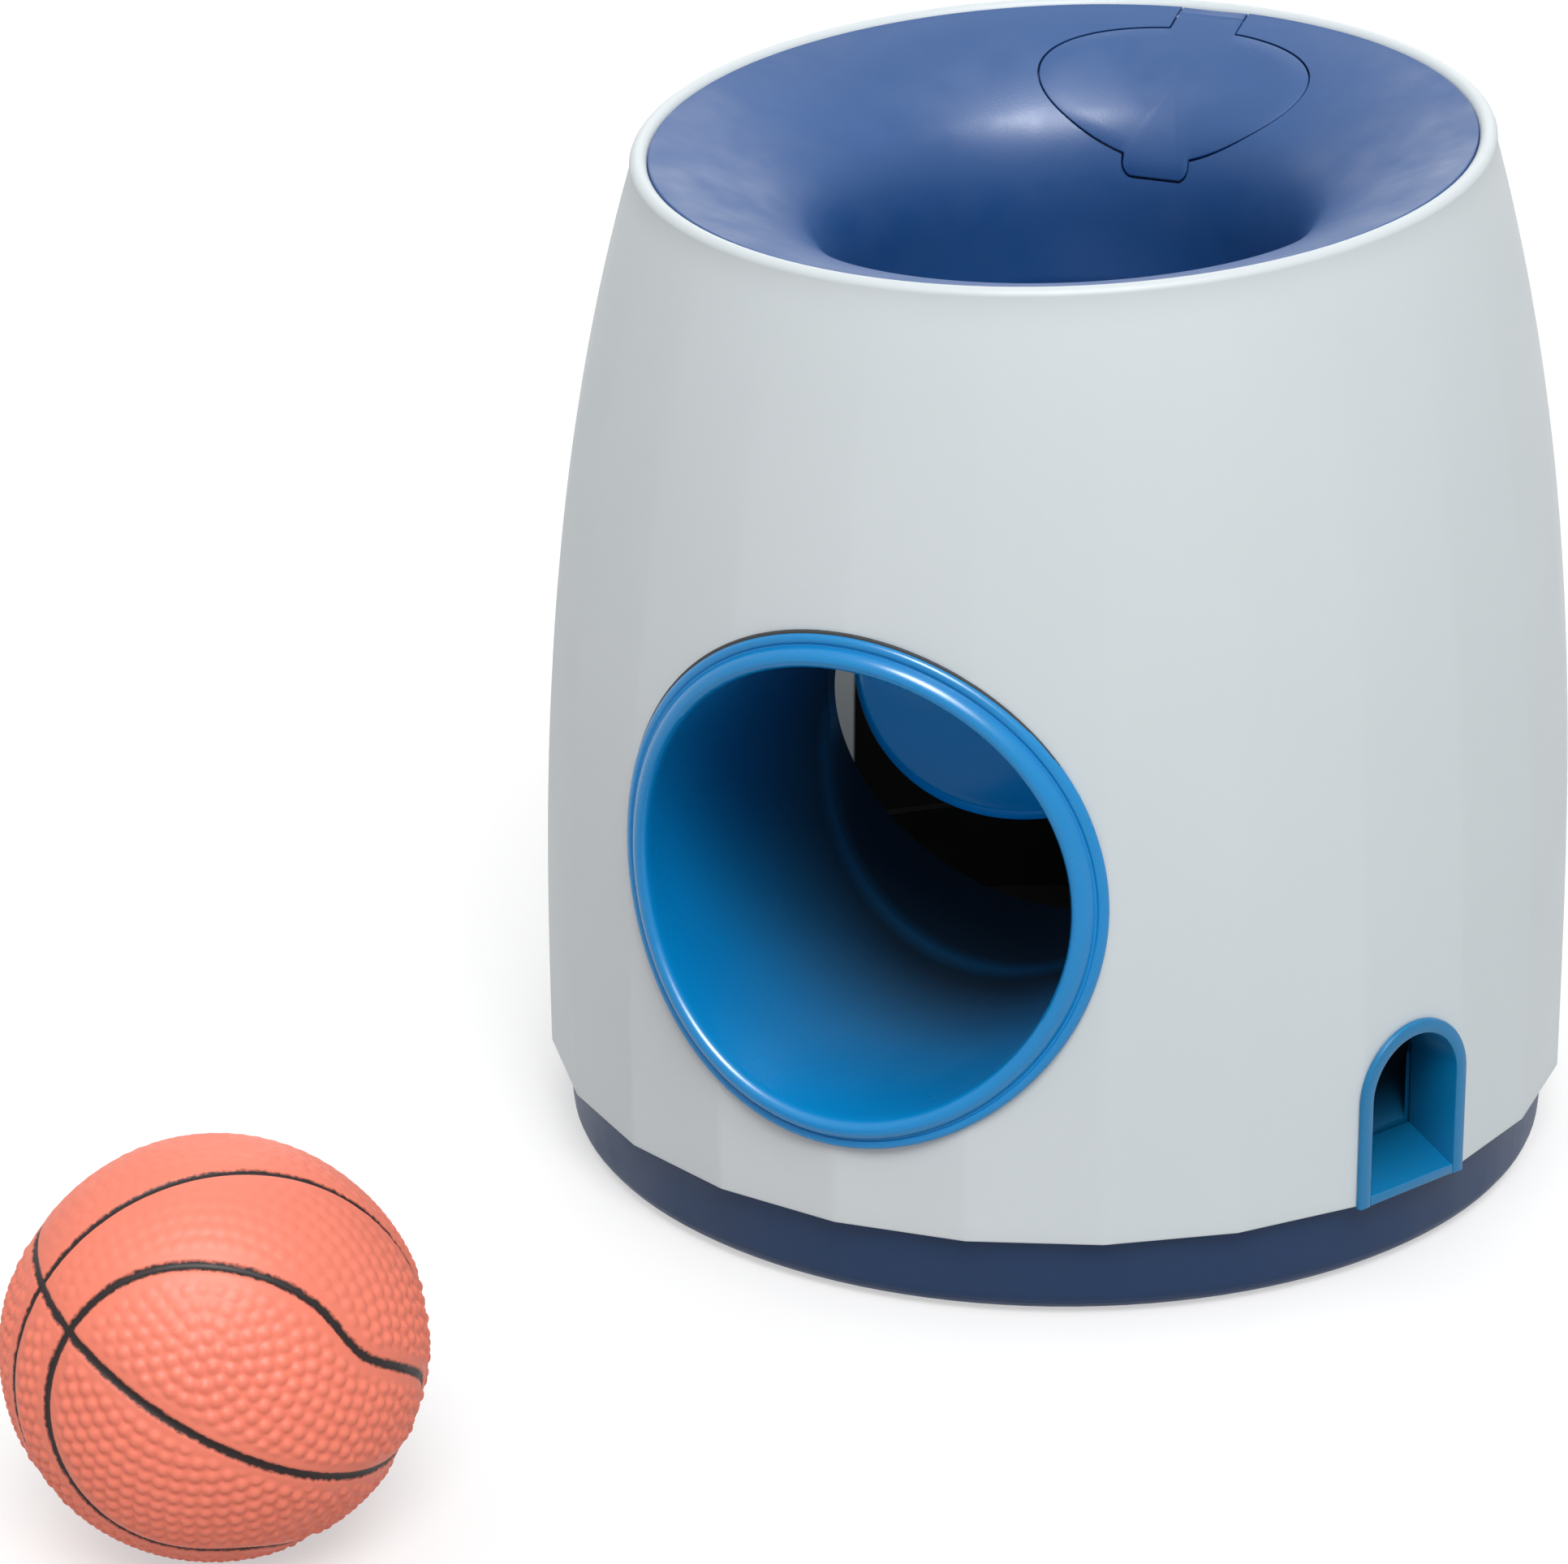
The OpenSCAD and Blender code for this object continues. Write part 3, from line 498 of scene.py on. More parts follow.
@dataclass(frozen=True)
class PaintedStepHighlight:
    """Painted highlight: a line where a leaning plane cuts the surface, with a share of the colour
    left, which shows lighter than the painted shade around it, as a lit edge of the tunnel's step.
    """

    lean: float
    level: float
    width: float
    left: float

    def share(self, shader: Shader) -> Socket:
        """A value that rises to 1 on the line."""
        off = shader.dot((0, 1, -self.lean))
        low, high = self.level - self.width, self.level + self.width
        return shader.merge("MULTIPLY", shader.span(off, 0, 1, low * MM, self.level * MM),
                            shader.span(off, 1, 0, self.level * MM, high * MM))


@dataclass(frozen=True)
class Moulded:
    """A moulded plastic, with flow marks in its colour and a spark-eroded grain, and, where given,
    painted shade and a painted highlight.
    """

    name: str
    colour: Colour
    gloss: tuple[float, float] = (0.34, 0.44)
    grain: float = 0.012
    grain_size: float = 0.45
    drift: float = 0.05
    drift_size: float = 38.0
    ripple: float = 0.03
    ripple_size: float = 9.0
    specular: float = 0.5
    depth_shade: PaintedDepthShade | None = None
    inner_shadow: PaintedInnerShadow | None = None
    step_highlight: PaintedStepHighlight | None = None

    def material(self) -> bpy.types.Material:
        """Builds the material."""
        shader = Shader(self.name)
        flow = shader.span(shader.noise(self.drift_size, FLOW_DETAIL), 0, 1)
        dark, light = (shaded(self.colour, 1 + drift) for drift in (-self.drift, self.drift))
        colour = shader.blend(flow, dark, light)
        matt = shader.span(shader.noise(self.ripple_size, FLOW_DETAIL), *self.gloss)
        painted_depth, inner_shadow, step_highlight = self.depth_shade, self.inner_shadow, self.step_highlight
        # Painted shade: the colour darkens towards the toy's middle
        if painted_depth:
            colour = shader.blend(painted_depth.share(shader, 1), colour, shaded(self.colour, painted_depth.left))
            matt = shader.merge("ADD", matt, painted_depth.share(shader, painted_depth.matt))
        # Painted shadow: a dark tone inside, where shade falls
        if inner_shadow:
            colour = shader.blend(inner_shadow.share(shader), colour, inner_shadow.colour)
        # Painted highlight: a lighter line along the tunnel's inner step
        if step_highlight:
            colour = shader.blend(step_highlight.share(shader), colour, shaded(self.colour, step_highlight.left))
        shader.feed("Base Color", colour)
        shader.feed("Roughness", matt)
        shader.surface.inputs["Specular IOR Level"].default_value = self.specular
        shader.relief(shader.noise(self.ripple_size, RIPPLE_DETAIL), self.ripple)
        shader.relief(shader.noise(self.grain_size), self.grain)
        return shader.material


@dataclass(frozen=True)
class Metal:
    """A drawn or turned metal, with fine lines along one axis."""

    name: str
    colour: Colour
    gloss: tuple[float, float] = (0.22, 0.36)
    lines: tuple[float, float, float] = (0.05, 1, 1)
    line_size: float = 0.25
    line_depth: float = 0.006
    line_tone: float = 0.86
    gloss_size: float = 0.6

    def material(self) -> bpy.types.Material:
        """Builds the material."""
        shader = Shader(self.name)
        streak = shader.noise(self.line_size, stretch=self.lines)
        shader.feed("Base Color", shader.blend(
            shader.span(streak, 0, 1), shaded(self.colour, self.line_tone), self.colour))
        matt = shader.noise(self.gloss_size, stretch=self.lines)
        shader.feed("Roughness", shader.span(matt, *self.gloss))
        shader.surface.inputs["Metallic"].default_value = 1.0
        shader.relief(streak, self.line_depth)
        return shader.material


@dataclass(frozen=True)
class Vinyl:
    """Soft vinyl with painted seams, read from the ball's own seam attribute."""

    name: str
    colour: Colour
    ink: Colour
    attribute: str = "seam"
    specular: float = 0.28
    drift: tuple[float, float] = (0.95, 1.04)
    drift_size: float = 14.0
    wear: tuple[float, float] = (-0.16, 0.1)
    wear_size: float = 0.9
    ink_edge: tuple[float, float] = (0.36, 0.64)
    gloss: tuple[float, float] = (0.46, 0.58)
    gloss_size: float = 5.0
    grain: float = 0.02
    grain_size: float = 0.5

    def material(self) -> bpy.types.Material:
        """Builds the material."""
        shader = Shader(self.name)
        flow = shader.span(shader.noise(self.drift_size, FLOW_DETAIL), 0, 1)
        skin_tone = shader.blend(flow, *(shaded(self.colour, share) for share in self.drift))
        seam = shader.nodes.new("ShaderNodeAttribute")
        seam.attribute_name = self.attribute
        wear = shader.span(shader.noise(self.wear_size), *self.wear)
        inked = shader.span(shader.merge("ADD", seam.outputs["Fac"], wear), 0, 1, *self.ink_edge)
        shader.feed("Base Color", shader.blend(inked, skin_tone, self.ink))
        shader.feed("Roughness", shader.span(shader.noise(self.gloss_size), *self.gloss))
        shader.surface.inputs["Specular IOR Level"].default_value = self.specular
        shader.relief(shader.noise(self.grain_size), self.grain)
        return shader.material


class Finish(Enum):
    """The finishes of the toy."""

    HOUSING = Moulded("housing_plastic", tone(216, 224, 227), gloss=(0.42, 0.5), grain=0.008,
                      drift=0.012, ripple=0.012, ripple_size=14.0, specular=0.28,
                      # painted shadow on the housing's inside, behind the dish
                      inner_shadow=PaintedInnerShadow(radius=82.4, behind=52.5, low=0.0, high=75.0))
    BASE = Moulded("base_plastic", tone(26, 54, 92), gloss=(0.4, 0.5), specular=0.3,
                   # painted shadow inside the base
                   inner_shadow=PaintedInnerShadow(radius=81.4, behind=-90.0, low=3.2, high=40.0))
    FUNNEL = Moulded("funnel_plastic", tone(34, 82, 142), gloss=(0.34, 0.54), grain=0.016)
    TUNNEL = Moulded("tunnel_plastic", tone(0, 136, 204), gloss=(0.24, 0.32), grain=0.0,
                     ripple=0.003,
                     # painted shade, darker deeper into the tunnel
                     depth_shade=PaintedDepthShade(inner_r=34.0, outer_r=82.0, left=0.1, matt=0.5),
                     # painted highlight along the tunnel's inner step
                     step_highlight=PaintedStepHighlight(lean=0.37, level=-40.62, width=3.0, left=0.34))
    SPOUT = Moulded("spout_plastic", tone(0, 118, 172), gloss=(0.28, 0.36), grain=0.004,
                    ripple=0.006,
                    # painted shade, darker deeper into the spout and chute
                    depth_shade=PaintedDepthShade(inner_r=70.0, outer_r=84.5, left=0.12))
    DISH = Moulded("dish_plastic", tone(0, 158, 240), gloss=(0.14, 0.2), grain=0.002, ripple=0.006,
                   specular=0.12)
    INNER = Moulded("inner_plastic", tone(38, 39, 41), gloss=(0.46, 0.56))
    RUBBER = Moulded("rubber", tone(34, 34, 36), gloss=(0.62, 0.75), grain=0.03, grain_size=0.8)
    STEEL = Metal("steel", tone(186, 188, 192))
    VINYL = Vinyl("ball_vinyl", tone(250, 136, 112), tone(34, 22, 22))

    def made(self) -> bpy.types.Material:
        """The finish's material, which is built the first time."""
        return bpy.data.materials.get(self.value.name) or self.value.material()

    def wear(self, piece: bpy.types.Object) -> None:
        """Puts the finish on a piece."""
        piece.data.materials.clear()
        piece.data.materials.append(self.made())

    def wear_on(self, piece: bpy.types.Object, here: Callable[[Vector], bool]) -> None:
        """Puts the finish on those faces of a dressed piece whose middles pass a test."""
        piece.data.materials.append(self.made())
        last = len(piece.data.materials) - 1
        for face in piece.data.polygons:
            if here(face.center):
                face.material_index = last


def hand_over(piece: bpy.types.Object, finish: Finish, body: str,
              node: str) -> bpy.types.Object:
    """Finishes a piece and lets it stand for a node of the solids.

    Args:
        piece: The piece, in place.
        finish: Its finish.
        body: The body that it rides on.
        node: The node that it replaces.

    Returns:
        The piece.
    """
    finish.wear(piece)
    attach(piece, body)
    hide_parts(node)
    log.info("%s: %d faces, on %s", piece.name, len(piece.data.polygons), body)
    return piece


# Shared surfaces


@dataclass(frozen=True)
class Barrel:
    """The housing's outer surface, and where other pieces meet it.

    Facets at the lower edge fade out towards a slanted round rim.
    """

    skirt_r: float = 85.0
    skirt_z: float = 14.0
    rim_z: float = 166.7
    tilt: float = 5.09
    shoulder: float = 17.3
    power: float = 2.7
    facets: int = 25
    lip_low: float = 2.2
    wall: float = 3.0
    rebate: float = 2.6
    tunnel_z: float = 68.7
    spout_az: float = 64.8
    front_rounds: int = 4

    @property
    def facet_angle(self) -> float:
        """Angle of one facet in degrees."""
        return 360 / self.facets

    @property
    def apothem(self) -> float:
        """Distance of a facet's middle at the lower edge."""
        return self.skirt_r * cos_d(self.facet_angle / 2)

    @property
    def rim_matrix(self) -> Matrix:
        """The slanted rim's frame, in metres."""
        turn = Matrix.Rotation(math.radians(self.tilt), 4, "X")
        return Matrix.Translation((0, 0, self.rim_z * MM)) @ turn

    def at_spout(self, out: float) -> Matrix:
        """The frame of the spout's facet at its lower edge, moved out by a length, in metres."""
        shift = Matrix.Translation(Vector((0, -out - self.apothem, self.skirt_z)) * MM)
        return Matrix.Rotation(math.radians(self.spout_az), 4, "Z") @ shift

    def rise(self, z: float) -> float:
        """How far up the side a height is, from 0 to 1."""
        return clamp((z - self.skirt_z) / (self.rim_z - self.skirt_z - self.lip_low))

    def radius(self, z: float) -> float:
        """Radius of the side at a height."""
        return self.skirt_r - self.shoulder * (
            max(0.0, z - self.skirt_z) / (self.rim_z - self.skirt_z)) ** self.power

    def facet(self, azimuth: float, weight: float) -> float:
        """Share of the radius that a facet leaves at an azimuth."""
        half = self.facet_angle / 2
        return 1 - weight * (1 - cos_d(half) / cos_d(azimuth % self.facet_angle - half))

    def ring(self, r: float, h: float, z: float, slant: float, weight: float,
             azimuth: float) -> Vector:
        """A point of a slanted ring.

        Args:
            r: Radius of the ring.
            h: Height over the ring's plane.
            z: Height of the ring's middle.
            slant: Slant of the ring in degrees.
            weight: How faceted the ring is, from 0 to 1.
            azimuth: Angle from the front towards +X, in degrees.

        Returns:
            The point in millimetres.
        """
        k = r * self.facet(azimuth, weight)
        x, y = k * sin_d(azimuth), -k * cos_d(azimuth)
        return Vector((x, y * cos_d(slant) - h * sin_d(slant),
                       z + y * sin_d(slant) + h * cos_d(slant)))

    def side(self, z: float, inset: float, azimuth: float) -> Vector:
        """A point of the side, drawn in by an inset."""
        rise = self.rise(z)
        r = self.radius(z) - inset / cos_d(self.facet_angle / 2)
        return self.ring(r, 0, z, self.tilt * rise, 1 - rise, azimuth)

    def rim(self, r: float, h: float, azimuth: float) -> Vector:
        """A point in the rim's slanted frame."""
        return self.ring(r, h, self.rim_z, self.tilt, 0, azimuth)

    def front(self, x: float, z: float) -> float:
        """Distance of the round side in front of the XZ plane, at a place of the front view."""
        level = z
        for _ in range(self.front_rounds):
            reach = math.sqrt(self.radius(level) ** 2 - x * x)
            level = z + reach * math.tan(math.radians(self.tilt * self.rise(level)))
        return math.sqrt(self.radius(level) ** 2 - x * x)


@dataclass(frozen=True)
class Horn:
    """The funnel's trumpet surface, in the rim's frame, as radius and height.

    The curve is a quarter of a leaning ellipse, swept down further towards the throat.
    """

    edge_r: float = 65.4
    throat_r: float = 36.5
    depth: float = 40.0
    slope: float = 0.25
    drop: float = 12.5
    sweep: float = 9.0
    sweep_turn: float = 52.0

    def late(self, turn: float) -> float:
        """How far into its sweep down to the throat the curve is, from 0 to 1."""
        return max(0.0, turn - self.sweep_turn) / (90 - self.sweep_turn)

    def point(self, turn: float, under: float = 0.0) -> tuple[float, float]:
        """A point of the curve, at a turn from 0 to 90 degrees, some way under its surface."""
        r = self.edge_r - self.width * sin_d(turn)
        h = -self.slope * (self.edge_r - r) - self.drop * (1 - cos_d(turn))
        h -= self.sweep * self.late(turn) ** 2
        out, up = self.inward(turn)
        return r + under * out, h + under * up

    @property
    def width(self) -> float:
        """Width of the horn between its edge and its throat."""
        return self.edge_r - self.throat_r

    def inward(self, turn: float) -> tuple[float, float]:
        """The direction into the wall at a turn, as radius and height."""
        fall = 2 * self.sweep * self.late(turn) / math.radians(90 - self.sweep_turn)
        normal = Vector((self.slope * self.width * cos_d(turn) + self.drop * sin_d(turn) + fall,
                         -self.width * cos_d(turn)))
        return tuple(normal.normalized())

    def turn(self, r: float) -> float:
        """The turn at a radius, in degrees."""
        return math.degrees(math.asin(clamp((self.edge_r - r) / self.width, -1.0)))

    def height(self, r: float) -> float:
        """Height of the surface at a radius, or of the throat's end within the throat."""
        return self.point(self.turn(r))[1] if r >= self.throat_r else -self.depth

    def sunk(self, point: Vector, under: float) -> Vector:
        """A point some way into the wall from a point of the surface."""
        r = math.hypot(point.x, point.y)
        out, up = self.inward(self.turn(r))
        grow = (r + under * out) / r
        return Vector((point.x * grow, point.y * grow, point.z + under * up))


# Pieces


@dataclass
class HousingShell:
    """The pale faceted housing with its rolled rim."""

    barrel: Barrel
    columns: tuple[float, ...] = (0.0, 0.035, 0.2, 0.4, 0.6, 0.8, 0.965)
    side_steps: int = 48
    lip_steps: int = 12
    inner_steps: int = 10
    edge_round: float = 0.5
    rim_r: float = 65.5
    lip_high: float = 0.6
    ledge_w: float = 3.0
    ledge_t: float = 2.6
    inner_top: float = 156.5
    tunnel_hole_r: float = 38.4
    tunnel_cut: tuple[float, float] = (-60.0, -100.0)
    tunnel_sides: int = 120
    spout_hole: tuple[float, float] = (21.4, 28.4)
    spout_cut: float = 14.0
    spout_under: float = 1.0
    spout_steps: int = 24
    hinge_notch: tuple[Vector, Vector] = (
        Vector((-6.1, 61.4, -4.4)), Vector((6.1, 65.2, 2.0)))

    def stations(self) -> list[Station]:
        """The rings up the outside, over the rim and down the inside."""
        b = self.barrel
        top = b.rim_z - b.lip_low
        edge = self.edge_round
        bevel = BEVEL_SHARE * edge
        low = [(b.skirt_z, edge), (b.skirt_z + bevel, bevel), (b.skirt_z + edge, 0.0)]
        outside = low + [(z, 0.0) for z in spread(b.skirt_z + edge, top, self.side_steps)[1:]]
        lip_out = b.radius(top)
        middle, half = (lip_out + self.rim_r) / 2, (lip_out - self.rim_r) / 2
        lip = [(middle + half * cos_d(q), self.lip_high - half + half * sin_d(q))
               for q in spread(0, 180, self.lip_steps)[1:]]
        ledge_r = self.rim_r - self.ledge_w
        ledge = [(self.rim_r, -b.rebate), (ledge_r, -b.rebate), (ledge_r, -b.rebate - self.ledge_t)]
        inside = spread(self.inner_top, b.skirt_z, self.inner_steps)
        return ([partial(b.side, z, inset) for z, inset in outside]
                + [partial(b.rim, r, h) for r, h in lip + ledge]
                + [partial(b.side, z, b.wall) for z in inside])

    def spout_cutter(self) -> BMesh:
        """The arch that the spout fills."""
        width, height = self.spout_hole
        half = width / 2
        spring = height - half
        arch = [(half * cos_d(q), spring + half * sin_d(q))
                for q in spread(0, 180, self.spout_steps)]
        foot = [(-half, -self.spout_under), (half, -self.spout_under)]
        cut = self.spout_cut
        return moved(prism(foot + arch, cut), self.barrel.at_spout(-cut / 2))

    def build(self) -> bpy.types.Object:
        """Builds the shell, cuts its openings and hands it over."""
        b = self.barrel
        angles = [(i + share) * b.facet_angle for i in range(b.facets) for share in self.columns]
        piece = as_object("housing", rings(self.stations(), angles))
        start, end = (Vector((0, y, b.tunnel_z)) for y in self.tunnel_cut)
        carve(piece, rod(start, end, self.tunnel_hole_r, self.tunnel_sides))
        carve(piece, self.spout_cutter())
        carve(piece, moved(block(*self.hinge_notch), b.rim_matrix))
        weigh = piece.modifiers.new("flat_facets", "WEIGHTED_NORMAL")
        weigh.keep_sharp = True
        return hand_over(piece, Finish.HOUSING, "toy", "housing_shell")


@dataclass
class LidShape:
    """The treat lid's outline: an ellipse on a leaning plane, with a finger tab and a hinge tab."""

    horn: Horn
    thick: float = 1.7
    half_w: float = 23.5
    half_l: float = 13.25
    middle_y: float = 48.35
    shift: float = -0.5
    sink: float = 1.5
    lean: float = 33.5
    tab_w: float = 11.5
    finger: float = 2.3
    finger_round: float = 1.6
    hinge_end: float = 18.8
    search: float = 8.0
    search_rounds: int = 30
    arc_steps: int = 44
    corner_steps: int = 6
    hinge_steps: int = 5
    across_steps: int = 6
    fill: int = 6

    def outline(self, grow: float, tabs: bool = True) -> list[tuple[float, float]]:
        """The outline in the lid's plane.

        Args:
            grow: How far it is grown.
            tabs: Whether it has its two tabs.

        Returns:
            The (x, up the slope) points, counter-clockwise.
        """
        a, b = self.half_w + grow, self.half_l + grow
        if not tabs:
            return [(a * cos_d(q), b * sin_d(q)) for q in spread(0, 360, 2 * self.arc_steps)[:-1]]
        half = self.tab_w / 2 + grow
        meet = math.degrees(math.acos(half / a))
        right = [(a * cos_d(q), b * sin_d(q)) for q in spread(-meet, meet, self.arc_steps)]
        left = [(-x, y) for x, y in reversed(right)]
        top = self.hinge_end + grow
        low = -self.half_l - self.finger - grow
        r = self.finger_round + grow
        corner = [(half - r + r * cos_d(q), low + r + r * sin_d(q))
                  for q in spread(-90, 0, self.corner_steps)]
        hinge = [(half, y) for y in spread(right[-1][1], top, self.hinge_steps)[1:]]
        across = [(x, top) for x in spread(half, -half, self.across_steps)[1:-1]]
        finger_left = [(-x, y) for x, y in reversed(corner)]
        return (right + hinge + across + [(-x, y) for x, y in reversed(hinge)] + left
                + finger_left + corner)

    def on_horn(self, x: float, up: float, under: float) -> Vector:
        """A point of the lid's plane laid on the horn along the plane's normal."""
        along = up + self.shift
        foot = Vector((x, self.middle_y + along * cos_d(self.lean),
                       self.horn.height(self.middle_y) - self.sink + along * sin_d(self.lean)))
        normal = Vector((0, -sin_d(self.lean), cos_d(self.lean)))
        low, high = -self.search, self.search
        for _ in range(self.search_rounds):
            middle = (low + high) / 2
            point = foot + normal * middle
            if point.z < self.horn.height(math.hypot(point.x, point.y)):
                low = middle
            else:
                high = middle
        return self.horn.sunk(foot + normal * high, under)

    def slab(self, layers: Outline, tabs: bool) -> BMesh:
        """A closed slab along the horn.

        Args:
            layers: The (grow, depth under the horn) of each ring, from top edge to bottom edge.
            tabs: Whether the outline has its tabs.

        Returns:
            The slab in the rim's frame.
        """
        shares = spread(0, 1, self.fill)[:-1]
        levels = ([(layers[0][0], share, layers[0][1]) for share in shares]
                  + [(grow, 1.0, under) for grow, under in layers]
                  + [(layers[-1][0], share, layers[-1][1]) for share in reversed(shares)])
        outlines = {grow: self.outline(grow, tabs) for grow, _, _ in levels}
        count = len(next(iter(outlines.values())))

        def place(column: int, row: int) -> Vector:
            """A point of the slab's skin."""
            grow, share, under = levels[row]
            x, up = outlines[grow][column % count]
            return self.on_horn(x * share, up * share, under)
        return skin(count, len(levels) - 1, place)


@dataclass
class FunnelTop:
    """The navy funnel, with its throat and the pocket for the lid."""

    barrel: Barrel
    horn: Horn
    lid: LidShape
    wall: float = 3.2
    flange_in: float = 62.1
    under_turn: float = 15.0
    edge_round: Outline = ((0.0, 0.35), (0.08, 0.12), (0.3, 0.05))
    foot_in: Outline = ((0.0, 0.8), (0.3, 0.2), (0.8, 0.0))
    foot_out: Outline = ((0.4, 0.0), (0.0, 0.4))
    lid_gap: float = 0.3
    lid_ledge: float = 2.2
    pocket_over: float = 2.0
    hole_cut: tuple[float, float] = (-1.0, 9.0)
    hinge_notch: tuple[Vector, Vector] = (
        Vector((-6.1, 61.2, -4.6)), Vector((6.1, 66.5, 2.0)))
    steps: int = 240
    upper_steps: int = 45
    lower_steps: int = 24
    throat_steps: int = 6

    def outline(self) -> list[tuple[float, float]]:
        """The section: down the horn, round the throat's end and back up under it."""
        h = self.horn
        upper = [h.point(q) for q in spread(0, 90, self.upper_steps)][1:]
        under = replace(h, sweep=0.0)
        lower = [under.point(q, self.wall) for q in spread(90, self.under_turn, self.lower_steps)]
        edge = [(h.edge_r - inset, -low) for inset, low in self.edge_round]
        foot = ([(h.throat_r + inset, up - h.depth) for inset, up in self.foot_in]
                + [(h.throat_r + self.wall - inset, up - h.depth) for inset, up in self.foot_out])
        drop = spread(upper[-1][1], foot[0][1], self.throat_steps)
        throat = [(h.throat_r, z) for z in drop[1:-1]]
        rebate = self.barrel.rebate
        flange = [(self.flange_in, lower[-1][1]), (self.flange_in, -rebate), (h.edge_r, -rebate)]
        return edge + upper + throat + foot + lower + flange

    def build(self) -> bpy.types.Object:
        """Builds the funnel, cuts the lid's pocket and hands it over."""
        matrix = self.barrel.rim_matrix
        piece = as_object("funnel", moved(lathe(self.outline(), self.steps), matrix))
        gap = self.lid_gap
        pocket = self.lid.slab([(gap, -self.pocket_over), (gap, self.lid.thick + gap)], True)
        hole = self.lid.slab([(-self.lid_ledge, under) for under in self.hole_cut], False)
        for cutter in (pocket, hole, block(*self.hinge_notch)):
            carve(piece, moved(cutter, matrix))
        return hand_over(piece, Finish.FUNNEL, "toy", "funnel_top")


@dataclass
class TreatLid:
    """The hinged lid of the treat hopper, flush with the funnel."""

    barrel: Barrel
    shape: LidShape
    lip_t: float = 0.6
    step: float = 1.0
    edge_round: float = 0.25
    knuckle_r: float = 1.3
    knuckle_sides: int = 32
    pin_in: float = 1.9
    pin_sink: float = 1.2

    def build(self) -> bpy.types.Object:
        """Builds the lid and its knuckle and hands it over."""
        edge = self.edge_round
        bevel = BEVEL_SHARE * edge
        layers = [(-edge, 0.0), (-bevel, bevel), (0.0, edge), (0.0, self.lip_t),
                  (-self.step, self.lip_t), (-self.step, self.shape.thick)]
        plate = self.shape.slab(layers, True)
        pin_y = self.shape.horn.edge_r - self.pin_in
        pin_h = self.shape.horn.height(pin_y) - self.pin_sink
        half = self.shape.tab_w / 2
        ends = (Vector((x, pin_y, pin_h)) for x in (-half, half))
        knuckle = rod(*ends, self.knuckle_r, self.knuckle_sides)
        piece = as_object("lid", moved(joined([plate, knuckle]), self.barrel.rim_matrix))
        return hand_over(piece, Finish.FUNNEL, "lid", "treat_lid")


